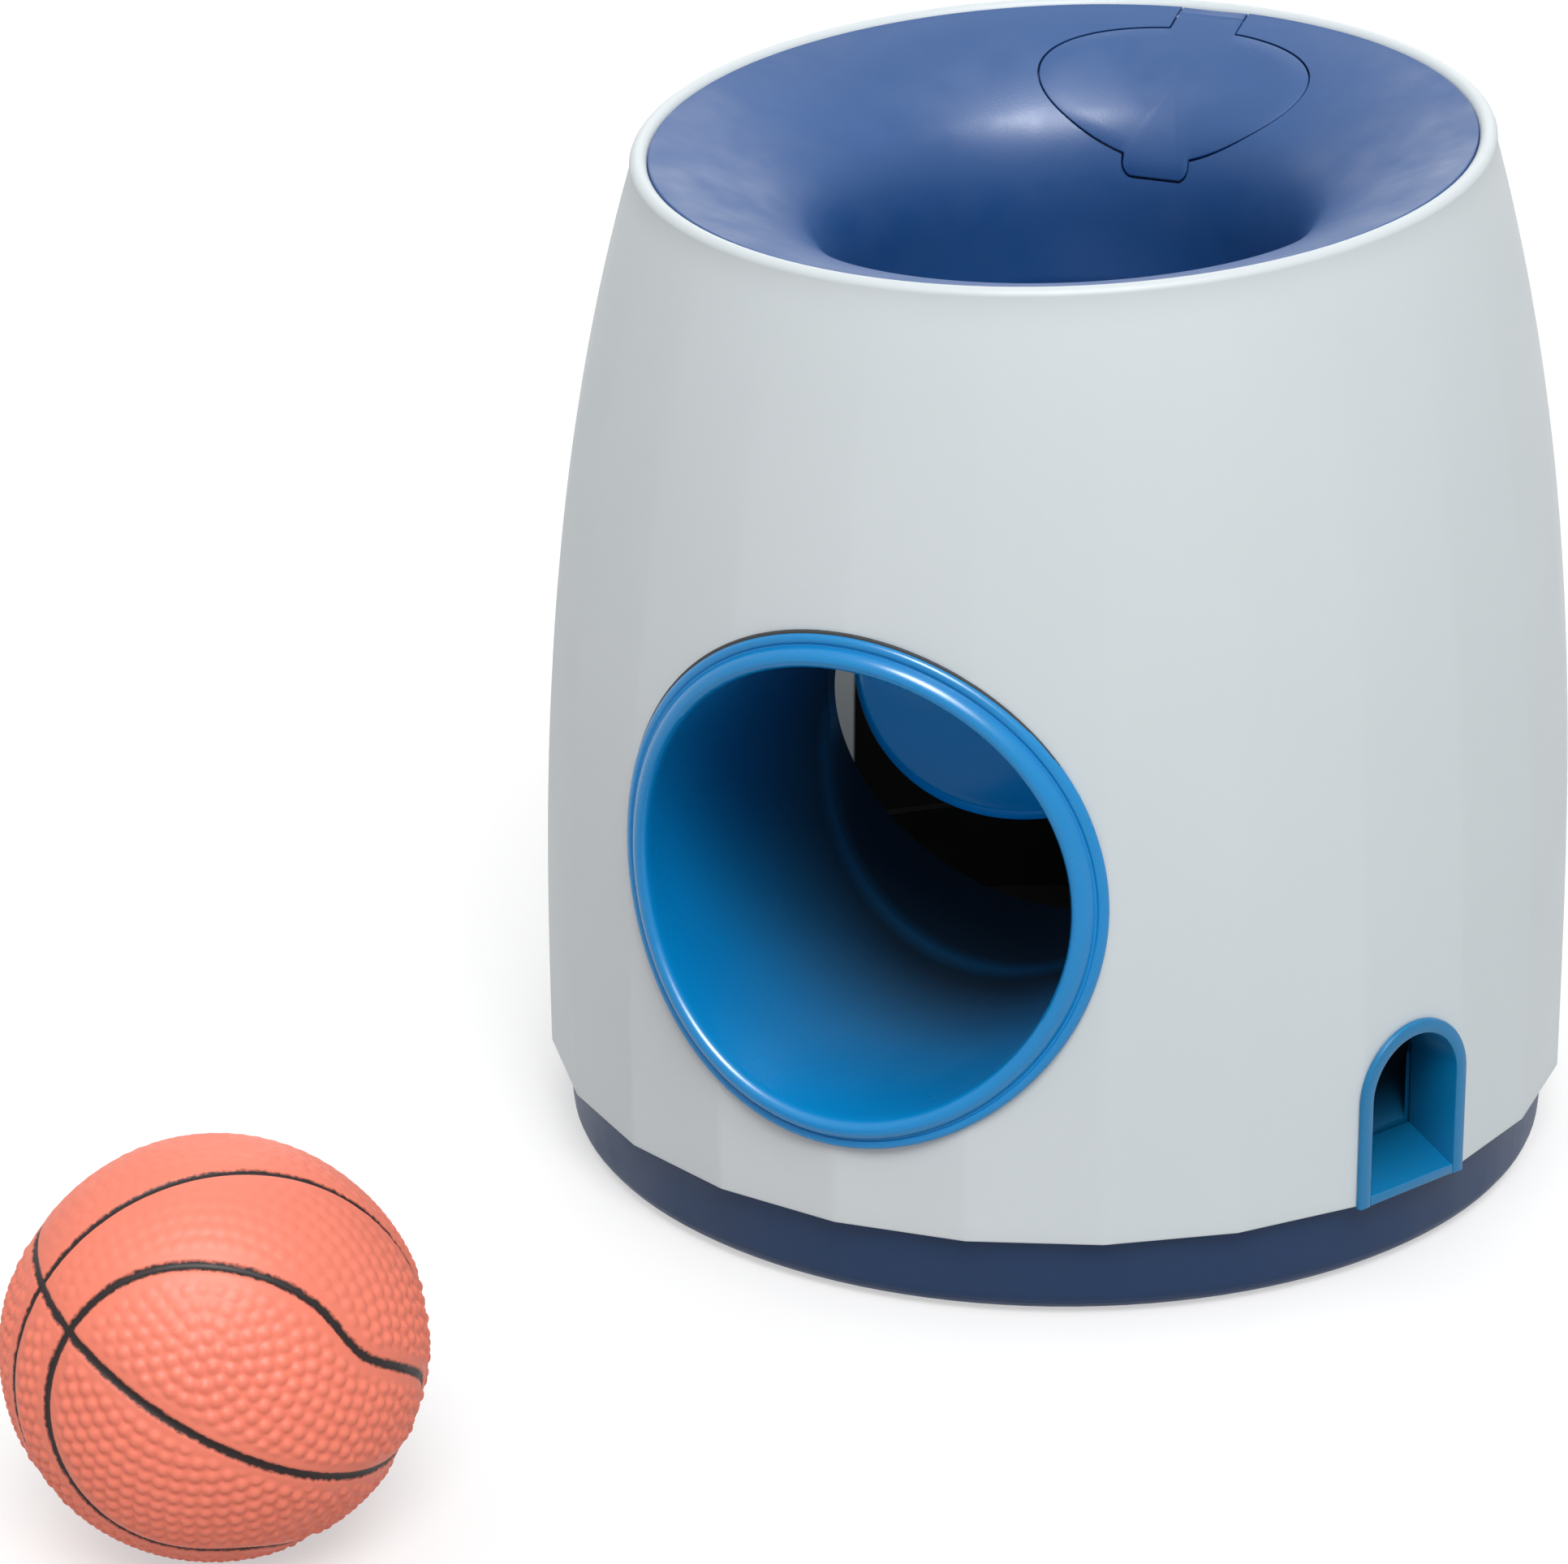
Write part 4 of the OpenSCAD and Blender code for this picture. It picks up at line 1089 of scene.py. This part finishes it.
@dataclass
class BallTunnel:
    """The bright tunnel that the ball rolls out of, with a step inside, a lip, and a dark ring
    under the lip's upper half that is a painted shadow of the gap there.
    """

    barrel: Barrel
    bore_r: float = 35.8
    fold_r: float = 35.0
    fold_y: float = -30.0
    step: tuple[float, float] = (-15.2, 0.37)
    step_edge: Outline = (
        (34.3, 0.9), (34.35, 0.4), (34.5, -0.1), (34.7, -0.7), (34.85, -1.4), (34.92, -2.2))
    step_room: float = 1.0
    shadow_ring_r: float = 40.87
    end_r: float = 33.0
    end_y: float = -3.0
    slant: float = 0.33
    wall: float = 2.2
    columns: int = 192
    lip: Outline = (
        (35.75, -3.0), (35.8, -0.5), (35.9, 0.7), (36.1, 1.4), (36.5, 2.0), (37.0, 2.35),
        (37.5, 2.45), (38.0, 2.35), (38.5, 2.0), (38.85, 1.5), (39.0, 1.05), (39.15, 0.85),
        (39.35, 0.85), (39.5, 1.0), (39.8, 1.2), (40.2, 1.25), (40.5, 1.15), (40.75, 0.95),
        (40.85, 0.7), (40.85, 0.45))
    # A dark ring that comes out from under the lip's upper half: painted shadow of the gap there
    shadow_ring: Outline = ((0.45, 0.42), (0.58, 0.3), (0.62, 0.05))
    shadow_ring_in: float = 40.7
    shadow_ring_at: float = 108.0
    seat: tuple[float, float] = (0.05, -3.0)
    inner_steps: int = 6
    bore_steps: int = 10

    def mouth(self, r: float, proud: float, angle: float) -> Vector:
        """A point in front of the housing's surface."""
        x, z = r * cos_d(angle), self.barrel.tunnel_z + r * sin_d(angle)
        return Vector((x, -self.barrel.front(x, z) - proud, z))

    def shadow_ring_point(self, wide: float, proud: float, angle: float) -> Vector:
        """A point of the dark ring, a painted shadow, which comes out from under the lip's upper
        half.
        """
        out = wide * max(0.0, cos_d(angle - self.shadow_ring_at))
        return self.mouth(self.shadow_ring_in + out, proud, angle)

    def bore(self, r: float, y: float, angle: float) -> Vector:
        """A point of a ring square to the tunnel."""
        return Vector((r * cos_d(angle), y, self.barrel.tunnel_z + r * sin_d(angle)))

    def end_at(self, rise: float) -> float:
        """Where the slanted inner end is, at a height over the axis."""
        return self.end_y - self.slant * (rise + self.bore_r)

    def end(self, r: float, angle: float) -> Vector:
        """A point of the slanted inner end."""
        return self.bore(r, self.end_at(r * sin_d(angle)), angle)

    def fold(self, r: float, shift: float, angle: float) -> Vector:
        """A point of the step's edge, which leans the other way and stops at the inner end."""
        rise = r * sin_d(angle)
        level, slope = self.step
        y = min(level + slope * min(rise, 0.0), self.end_at(rise) - self.step_room)
        return self.bore(r, y + shift, angle)

    def between(self, share: float, first: Station, second: Station, angle: float) -> Vector:
        """A point part of the way from one ring to another."""
        return first(angle).lerp(second(angle), share)

    def run(self, first: Station, second: Station, steps: int) -> list[Station]:
        """Rings from one station up to, but without, another."""
        return [partial(self.between, i / steps, first, second) for i in range(steps)]

    def on_shadow_ring(self, place: Vector) -> bool:
        """Whether a place, in metres, is on the dark ring that is a painted shadow."""
        return math.hypot(place.x, place.z - self.barrel.tunnel_z * MM) > self.shadow_ring_r * MM

    def build(self) -> bpy.types.Object:
        """Builds the tunnel and hands it over."""
        inner_end = partial(self.end, self.end_r)
        step = [partial(self.fold, r, shift) for r, shift in self.step_edge]
        lip = ([partial(self.mouth, r, proud) for r, proud in self.lip]
               + [partial(self.shadow_ring_point, wide, proud) for wide, proud in self.shadow_ring])
        outside = [*(partial(self.mouth, self.bore_r + self.wall, proud) for proud in self.seat),
                   partial(self.bore, self.fold_r + self.wall, self.fold_y),
                   partial(self.end, self.end_r + self.wall)]
        stations = (self.run(inner_end, step[0], self.inner_steps) + step[:-1]
                    + self.run(step[-1], lip[0], self.bore_steps) + lip + outside)
        angles = spread(0, 360, self.columns)[:-1]
        piece = as_object("tunnel", rings(stations, angles))
        hand_over(piece, Finish.TUNNEL, "toy", "ball_tunnel")
        # The dark ring under the lip takes the rubber finish: painted shadow
        Finish.RUBBER.wear_on(piece, self.on_shadow_ring)
        return piece


@dataclass
class TreatSpout:
    """The arched outlet for the treats, with its sloping floor."""

    barrel: Barrel
    width: float = 22.6
    height: float = 29.0
    edge: float = 2.3
    tube: float = 1.5
    proud: float = 1.05
    lift: float = 0.15
    depth: float = 9.0
    floor: float = 1.6
    ramp_top: float = 5.4
    ramp_fit: float = 0.02
    ramp_back: float = 0.1
    ramp_nose: tuple[float, float] = (0.8, 0.1)
    ramp_round: float = 0.15
    corner: float = 0.4
    bevel: float = 0.12
    arc_steps: int = 32
    side_steps: int = 4

    def path(self, out: float) -> list[tuple[float, float]]:
        """The arch's line, some way out from the opening's edge."""
        half = self.width / 2 - self.edge + out
        spring = self.height - self.width / 2
        arc = [(half * cos_d(q), spring + half * sin_d(q))
               for q in spread(0, 180, self.arc_steps)]
        right = [(half, z) for z in spread(0, spring, self.side_steps)[:-1]]
        return right + arc + [(-x, z) for x, z in reversed(right)]

    def build(self) -> bpy.types.Object:
        """Builds the frame and the ramp and hands them over."""
        p, e, c, b = self.proud, self.edge, self.corner, self.bevel
        section = [(0.0, -self.depth), (0.0, p - c), (b, p - b), (c, p),
                   (e - c, p), (e - b, p - b), (e, p - c), (e, self.lift),
                   (self.tube, self.lift), (self.tube, -self.depth)]
        paths = [self.path(out) for out, _ in section]
        count = len(paths[0])

        def place(column: int, row: int) -> Vector:
            """A point of the frame's skin."""
            k = row % len(section)
            x, z = paths[k][column]
            return Vector((x, -section[k][1], z))
        arch = skin(count - 1, len(section), place)
        open_edges = [edge for edge in arch.edges if edge.is_boundary]
        bmesh.ops.holes_fill(arch, edges=open_edges, sides=0)
        tidy(arch)
        half = self.width / 2 - e + self.ramp_fit
        front = self.ramp_back - p
        nose, rise = self.ramp_nose
        side = [(front, 0.0), (front, self.floor), (front + nose, self.floor + rise),
                (self.depth, self.ramp_top), (self.depth, 0.0)]
        ramp = rounded(prism(side, 2 * half), self.ramp_round)
        across = Matrix.Rotation(math.radians(90), 4, "Z")
        moved(ramp, Matrix.Translation((-half * MM, 0, 0)) @ across)
        whole = moved(joined([arch, ramp]), self.barrel.at_spout(0))
        return hand_over(as_object("spout", whole), Finish.SPOUT, "toy", "treat_spout")


@dataclass
class Paddle:
    """The sprung dish that catches the ball, with its hub, tail and lever."""

    dish_r: float = 32.0
    dish_depth: float = 9.0
    dish_wall: float = 2.0
    slope: float = 48.0
    middle: tuple[float, float] = (-5.212, 85.819)
    axle: tuple[float, float] = (40.0, 106.0)
    pin: tuple[float, float] = (34.1513, 80.6664)
    hub: tuple[float, float, float] = (-21.0, 33.0, 5.0)
    web: tuple[float, float, float] = (10.0, 16.08, 3.0)
    tail: tuple[float, float, float] = (6.0, 3.5, 12.0)
    lever: tuple[float, float, float, float] = (27.0, 3.0, 6.0, 26.0)
    lever_lean: float = -13.0
    boss_r: float = 3.6
    steps: int = 24
    rim_steps: int = 10
    rim_squash: float = 0.6
    dish_sides: int = 160
    hub_sides: int = 64
    soft: float = 0.4
    tail_soft: float = 0.5

    def dish_outline(self) -> list[tuple[float, float]]:
        """The dish's section from its middle out to a rounded rim and back."""
        ball_r = (self.dish_r ** 2 + self.dish_depth ** 2) / (2 * self.dish_depth)
        arc = math.degrees(math.asin(self.dish_r / ball_r))
        lift = ball_r - self.dish_depth
        inner = [(ball_r * sin_d(q), lift - ball_r * cos_d(q))
                 for q in spread(0, arc, self.steps)]
        outer_r = ball_r + self.dish_wall
        outer = [(outer_r * sin_d(q), lift - outer_r * cos_d(q))
                 for q in spread(arc, 0, self.steps)]
        half = self.dish_wall / 2
        mid_r = ball_r + half
        bulge = half * self.rim_squash
        rim = [((mid_r - half * cos_d(t)) * sin_d(arc) + bulge * sin_d(t) * cos_d(arc),
                lift - (mid_r - half * cos_d(t)) * cos_d(arc) + bulge * sin_d(t) * sin_d(arc))
               for t in spread(0, 180, self.rim_steps)[1:-1]]
        return inner + rim + outer

    def build(self) -> bpy.types.Object:
        """Builds the paddle and hands it over."""
        place = Matrix.Translation(Vector((0, *self.middle)) * MM)
        tip = Matrix.Rotation(math.radians(self.slope), 4, "X")
        dish = moved(lathe(self.dish_outline(), self.dish_sides), place @ tip)
        left, right, hub_r = self.hub
        ends = (Vector((x, *self.axle)) for x in (left, right))
        hub = rounded(rod(*ends, hub_r, self.hub_sides), self.soft)
        half, web_end, thick = self.web
        axle_y, axle_z = self.axle
        web = rounded(block(Vector((-half, web_end, axle_z - thick / 2)),
                            Vector((half, axle_y, axle_z + thick / 2))), self.soft)
        half, thick, high = self.tail
        tail = rounded(block(Vector((-half, 0, 0)), Vector((half, thick, high))), self.tail_soft)
        x, thick, wide, long = self.lever
        lever = rounded(block(Vector((x, -wide / 2, -long)),
                              Vector((x + thick, wide / 2, 0))), self.soft)
        ends = (Vector((end, *self.pin)) for end in (x, x + thick))
        boss = rounded(rod(*ends, self.boss_r), self.soft)
        axle = Matrix.Translation(Vector((0, *self.axle)) * MM)
        lean = Matrix.Rotation(math.radians(self.lever_lean), 4, "X")
        parts = [dish, hub, web, moved(tail, axle), moved(lever, axle @ lean), boss]
        piece = as_object("dish_paddle", joined(parts))
        return hand_over(piece, Finish.DISH, "paddle", "paddle")


@dataclass
class PebbledBall:
    """The loose vinyl ball, with painted grooves and rings of pebbles."""

    middle: tuple[float, float, float] = (-48.8, -184.8, 30.5)
    radius: float = 30.5
    cuts: int = 120
    cross_axis: Vector = Vector((0.4745, 0.2386, 0.8473)).normalized()
    cross_lean: float = 3.9
    side_x: Vector = Vector((0.6926, -0.7212, -0.0121)).normalized()
    side_y: Vector = Vector((0.6096, 0.5942, -0.5248)).normalized()
    side_z: Vector = Vector((0.3857, 0.356, 0.8512)).normalized()
    seam_tilt: float = 9.0
    oval_mean: float = 34.01
    oval_waves: Outline = (
        (-2.9, 5.07), (-14.38, 0.0), (-7.98, 0.62), (-3.72, 0.83), (-0.99, 0.14))
    oval_least: float = 22.0
    oval_soft: float = 2.0
    far_shift: float = 14.0
    groove_w: tuple[float, float] = (1.5, 1.25)
    groove_d: float = 0.4
    groove_share: float = 0.6
    least_cos: float = 0.2
    pebble_axis: Vector = Vector((0.45, -0.776, 0.442)).normalized()
    pebble_pitch: float = 2.3
    pebble_r: float = 1.05
    pebble_h: float = 0.55
    pebble_power: float = 0.75
    quiet: tuple[float, float, float] = (0.3, 0.65, 0.28)
    margin: tuple[float, float] = (0.9, 2.2)

    def lean(self, n: Vector, axis: Vector) -> float:
        """How far a direction leans towards an axis, in degrees."""
        return math.degrees(math.asin(clamp(n.dot(axis), -1.0)))

    def seams(self, n: Vector) -> list[tuple[float, float]]:
        """Distance to each seam and its width, in millimetres, in a direction from the middle."""
        turn = math.atan2(n.dot(self.side_z), n.dot(self.side_y))
        lean = self.lean(n, self.side_x)
        oval, slope = self.oval_mean, 0.0
        for wave, (c, s) in enumerate(self.oval_waves, 1):
            oval += c * math.cos(wave * turn) + s * math.sin(wave * turn)
            slope += math.radians(wave * (s * math.cos(wave * turn) - c * math.sin(wave * turn)))
        excess = (oval - self.oval_least) / self.oval_soft
        oval = self.oval_least + self.oval_soft * math.log1p(math.exp(excess))
        slope /= 1 + math.exp(-excess)
        far = 2 * self.seam_tilt - self.far_shift - oval
        wide, narrow = self.groove_w
        degree = math.radians(self.radius)
        square = degree / math.hypot(1, slope / max(self.least_cos, cos_d(lean)))
        across = self.lean(n, self.cross_axis) - self.cross_lean
        return [(abs(across) * degree, wide), (abs(lean - self.seam_tilt) * degree, narrow),
                (abs(lean - oval) * square, wide), (abs(lean - far) * square, wide)]

    def pebble(self, n: Vector) -> float:
        """Height of the pebbles, from 0 to 1, in a direction from the middle."""
        fall = math.acos(clamp(n.dot(self.pebble_axis), -1.0))
        step = self.pebble_pitch / self.radius
        ring = round(fall / step)
        count = max(1, round(2 * math.pi * math.sin(ring * step) / step))
        side = self.pebble_axis.orthogonal().normalized()
        turn = math.atan2(n.dot(self.pebble_axis.cross(side)), n.dot(side))
        share = turn / (2 * math.pi) * count + 0.5 * (ring % 2)
        around = (share - round(share)) / count * 2 * math.pi * math.sin(ring * step)
        distance = math.hypot(fall - ring * step, around) * self.radius / self.pebble_r
        return max(0.0, 1 - distance * distance) ** self.pebble_power

    def build(self) -> bpy.types.Object:
        """Builds the ball and hands it over."""
        bm = bmesh.new()
        bmesh.ops.create_cube(bm, size=2.0)
        bmesh.ops.subdivide_edges(bm, edges=bm.edges[:], cuts=self.cuts, use_grid_fill=True)
        seam_layer = bm.verts.layers.float.new(Finish.VINYL.value.attribute)
        middle = Vector(self.middle)
        low, high = self.margin
        start, end, left = self.quiet
        for vert in bm.verts:
            n = Vector([math.tan(c * math.pi / 4) for c in vert.co]).normalized()
            seams = self.seams(n)
            mark = max(1 - distance / width for distance, width in seams)
            near = min(distance - width / 2 for distance, width in seams)
            open_share = clamp((near - low) / (high - low))
            groove = max(max(0.0, 1 - (distance / (self.groove_share * width)) ** 2)
                         for distance, width in seams)
            calm = clamp((n.z - start) / (end - start))
            height = (self.pebble_h * open_share * (1 - calm * (1 - left)) * self.pebble(n)
                      - self.groove_d * groove)
            vert.co = (middle + n * (self.radius - self.pebble_h + height)) * MM
            vert[seam_layer] = max(0.0, mark)
        bmesh.ops.recalc_face_normals(bm, faces=bm.faces[:])
        piece = as_object("loose_ball", bm, sharp=180)
        return hand_over(piece, Finish.VINYL, "ball", "ball")


@dataclass
class InnerWorks:
    """The pieces inside and underneath, which keep the shape of their solids."""

    finishes: dict[str, Finish] = field(default_factory=lambda: {
        "base_tray": Finish.BASE,
        "grip_ring": Finish.RUBBER, "paddle_stop": Finish.RUBBER,
        "treat_chute": Finish.SPOUT, "dosing_slide": Finish.INNER,
        "hopper": Finish.INNER, "dosing_bed": Finish.INNER, "axle_bushes": Finish.RUBBER,
        "base_screws": Finish.STEEL, "hopper_screws": Finish.STEEL, "bed_screws": Finish.STEEL,
        "lid_hinge_pin": Finish.STEEL, "paddle_axle": Finish.STEEL, "drive_pin": Finish.STEEL,
        "axle_clips": Finish.STEEL, "return_spring": Finish.STEEL})

    def dress(self) -> None:
        """Gives each node its finish."""
        for name, finish in self.finishes.items():
            finish.wear(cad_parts[name])
            log.info("%s: %s", name, finish.value.name)


@dataclass(frozen=True)
class Lamp:
    """A broad soft light from far away.

    Attributes:
        name: Name of the light.
        energy: Its strength.
        width: How wide it looks from the toy, in degrees.
        bearing: Its bearing from the front towards +X, in degrees.
        rise: Its height over the horizon, in degrees.
        gloss_only: Whether it shows in gloss alone.
    """

    name: str
    energy: float
    width: float
    bearing: float
    rise: float
    gloss_only: bool = False

    def hang(self) -> None:
        """Hangs the light in the scene."""
        lamp = bpy.data.lights.new(self.name, "SUN")
        lamp.energy = self.energy
        lamp.angle = math.radians(self.width)
        thing = bpy.data.objects.new(self.name, lamp)
        flat = cos_d(self.rise)
        towards = Vector((flat * sin_d(self.bearing), -flat * cos_d(self.bearing),
                          sin_d(self.rise)))
        thing.rotation_euler = towards.to_track_quat("Z", "Y").to_euler()
        thing.location = towards
        thing.visible_diffuse = not self.gloss_only
        bpy.context.scene.collection.objects.link(thing)


@dataclass
class Studio:
    """The floor, the light and the camera."""

    eye: Vector = Vector((310.504, -715.031, 375.689))
    right: Vector = Vector((0.89496419, 0.44594861, -0.0129973))
    up: Vector = Vector((-0.1582181, 0.34449422, 0.9253598))
    forward: Vector = Vector((-0.41714041, 0.82610748, -0.37886714))
    focal_px: float = 6241.714
    image_px: int = 1932
    sensor: float = 36.0
    sky: tuple[float, float] = (0.1, 0.85)
    floor_tone: float = 0.5
    floor_glow: float = 0.52
    floor_matt: float = 0.9
    floor_half: float = 6.0
    floor_drop: float = 0.1
    clip: tuple[float, float] = (0.01, 50.0)
    lamps: tuple[Lamp, ...] = (
        Lamp("key", energy=1.85, width=30.0, bearing=36.0, rise=52.0),
        Lamp("glint", energy=4.6, width=24.0, bearing=26.0, rise=64.0, gloss_only=True),
        Lamp("behind", energy=0.35, width=40.0, bearing=200.0, rise=26.0))

    def shown(self, tree: bpy.types.NodeTree) -> Socket:
        """A value that is 1 for what the camera sees, also in gloss and glass, and 0 for light."""
        path = tree.nodes.new("ShaderNodeLightPath")
        rays = ("Is Camera Ray", "Is Glossy Ray", "Is Transmission Ray")
        return chained(tree, "MAXIMUM", [path.outputs[ray] for ray in rays])

    def surroundings(self) -> None:
        """A white world that lights the toy at a plain level, mostly from above."""
        world = bpy.data.worlds.new("studio")
        world.use_nodes = True
        tree = world.node_tree
        place = tree.nodes.new("ShaderNodeTexCoord")
        height = tree.nodes.new("ShaderNodeSeparateXYZ")
        tree.links.new(place.outputs["Generated"], height.inputs["Vector"])
        sky = tree.nodes.new("ShaderNodeMapRange")
        sky.inputs["To Min"].default_value, sky.inputs["To Max"].default_value = self.sky
        tree.links.new(height.outputs["Z"], sky.inputs["Value"])
        level = tree.nodes.new("ShaderNodeMapRange")
        level.inputs["To Max"].default_value = 1.0
        tree.links.new(sky.outputs["Result"], level.inputs["To Min"])
        tree.links.new(self.shown(tree), level.inputs["Value"])
        back = tree.nodes["Background"]
        back.inputs["Color"].default_value = (1, 1, 1, 1)
        tree.links.new(level.outputs["Result"], back.inputs["Strength"])
        bpy.context.scene.world = world

    def floor(self) -> None:
        """A plain white floor that keeps the shadows."""
        bm = bmesh.new()
        bmesh.ops.create_grid(bm, x_segments=1, y_segments=1, size=self.floor_half)
        bmesh.ops.translate(bm, verts=bm.verts, vec=(0, 0, -self.floor_drop * MM))
        plane = as_object("floor", bm)
        material = bpy.data.materials.new("floor_paper")
        material.use_nodes = True
        tree = material.node_tree
        paper = tree.nodes["Principled BSDF"]
        paper.inputs["Base Color"].default_value = (*[self.floor_tone] * 3, 1)
        paper.inputs["Roughness"].default_value = self.floor_matt
        paper.inputs["Specular IOR Level"].default_value = 0.0
        paper.inputs["Emission Color"].default_value = (1, 1, 1, 1)
        glow = tree.nodes.new("ShaderNodeMath")
        glow.operation = "MULTIPLY"
        glow.inputs[1].default_value = self.floor_glow
        tree.links.new(self.shown(tree), glow.inputs[0])
        tree.links.new(glow.outputs["Value"], paper.inputs["Emission Strength"])
        plane.data.materials.append(material)

    def camera(self) -> None:
        """The camera, where the photograph was taken from."""
        lens = bpy.data.cameras.new("camera")
        lens.sensor_fit = "HORIZONTAL"
        lens.sensor_width = self.sensor
        lens.lens = self.focal_px / self.image_px * self.sensor
        lens.clip_start, lens.clip_end = self.clip
        thing = bpy.data.objects.new("camera", lens)
        turn = Matrix((self.right, self.up, -self.forward)).transposed()
        thing.matrix_world = Matrix.Translation(self.eye * MM) @ turn.to_4x4()
        bpy.context.scene.collection.objects.link(thing)
        bpy.context.scene.camera = thing

    def set_up(self) -> None:
        """Sets up the whole studio."""
        self.camera()
        self.surroundings()
        self.floor()
        for lamp in self.lamps:
            lamp.hang()
        bpy.context.scene.view_settings.view_transform = "Standard"


def main() -> None:
    """Builds the toy and its studio."""
    logging.basicConfig(level=logging.INFO, format="%(message)s")
    barrel = Barrel()
    horn = Horn()
    lid = LidShape(horn)
    makers = [HousingShell(barrel), FunnelTop(barrel, horn, lid), TreatLid(barrel, lid),
              BallTunnel(barrel), TreatSpout(barrel), Paddle(), PebbledBall()]
    for maker in makers:
        maker.build()
    InnerWorks().dress()
    Studio().set_up()


if __name__ == "__main__":
    main()
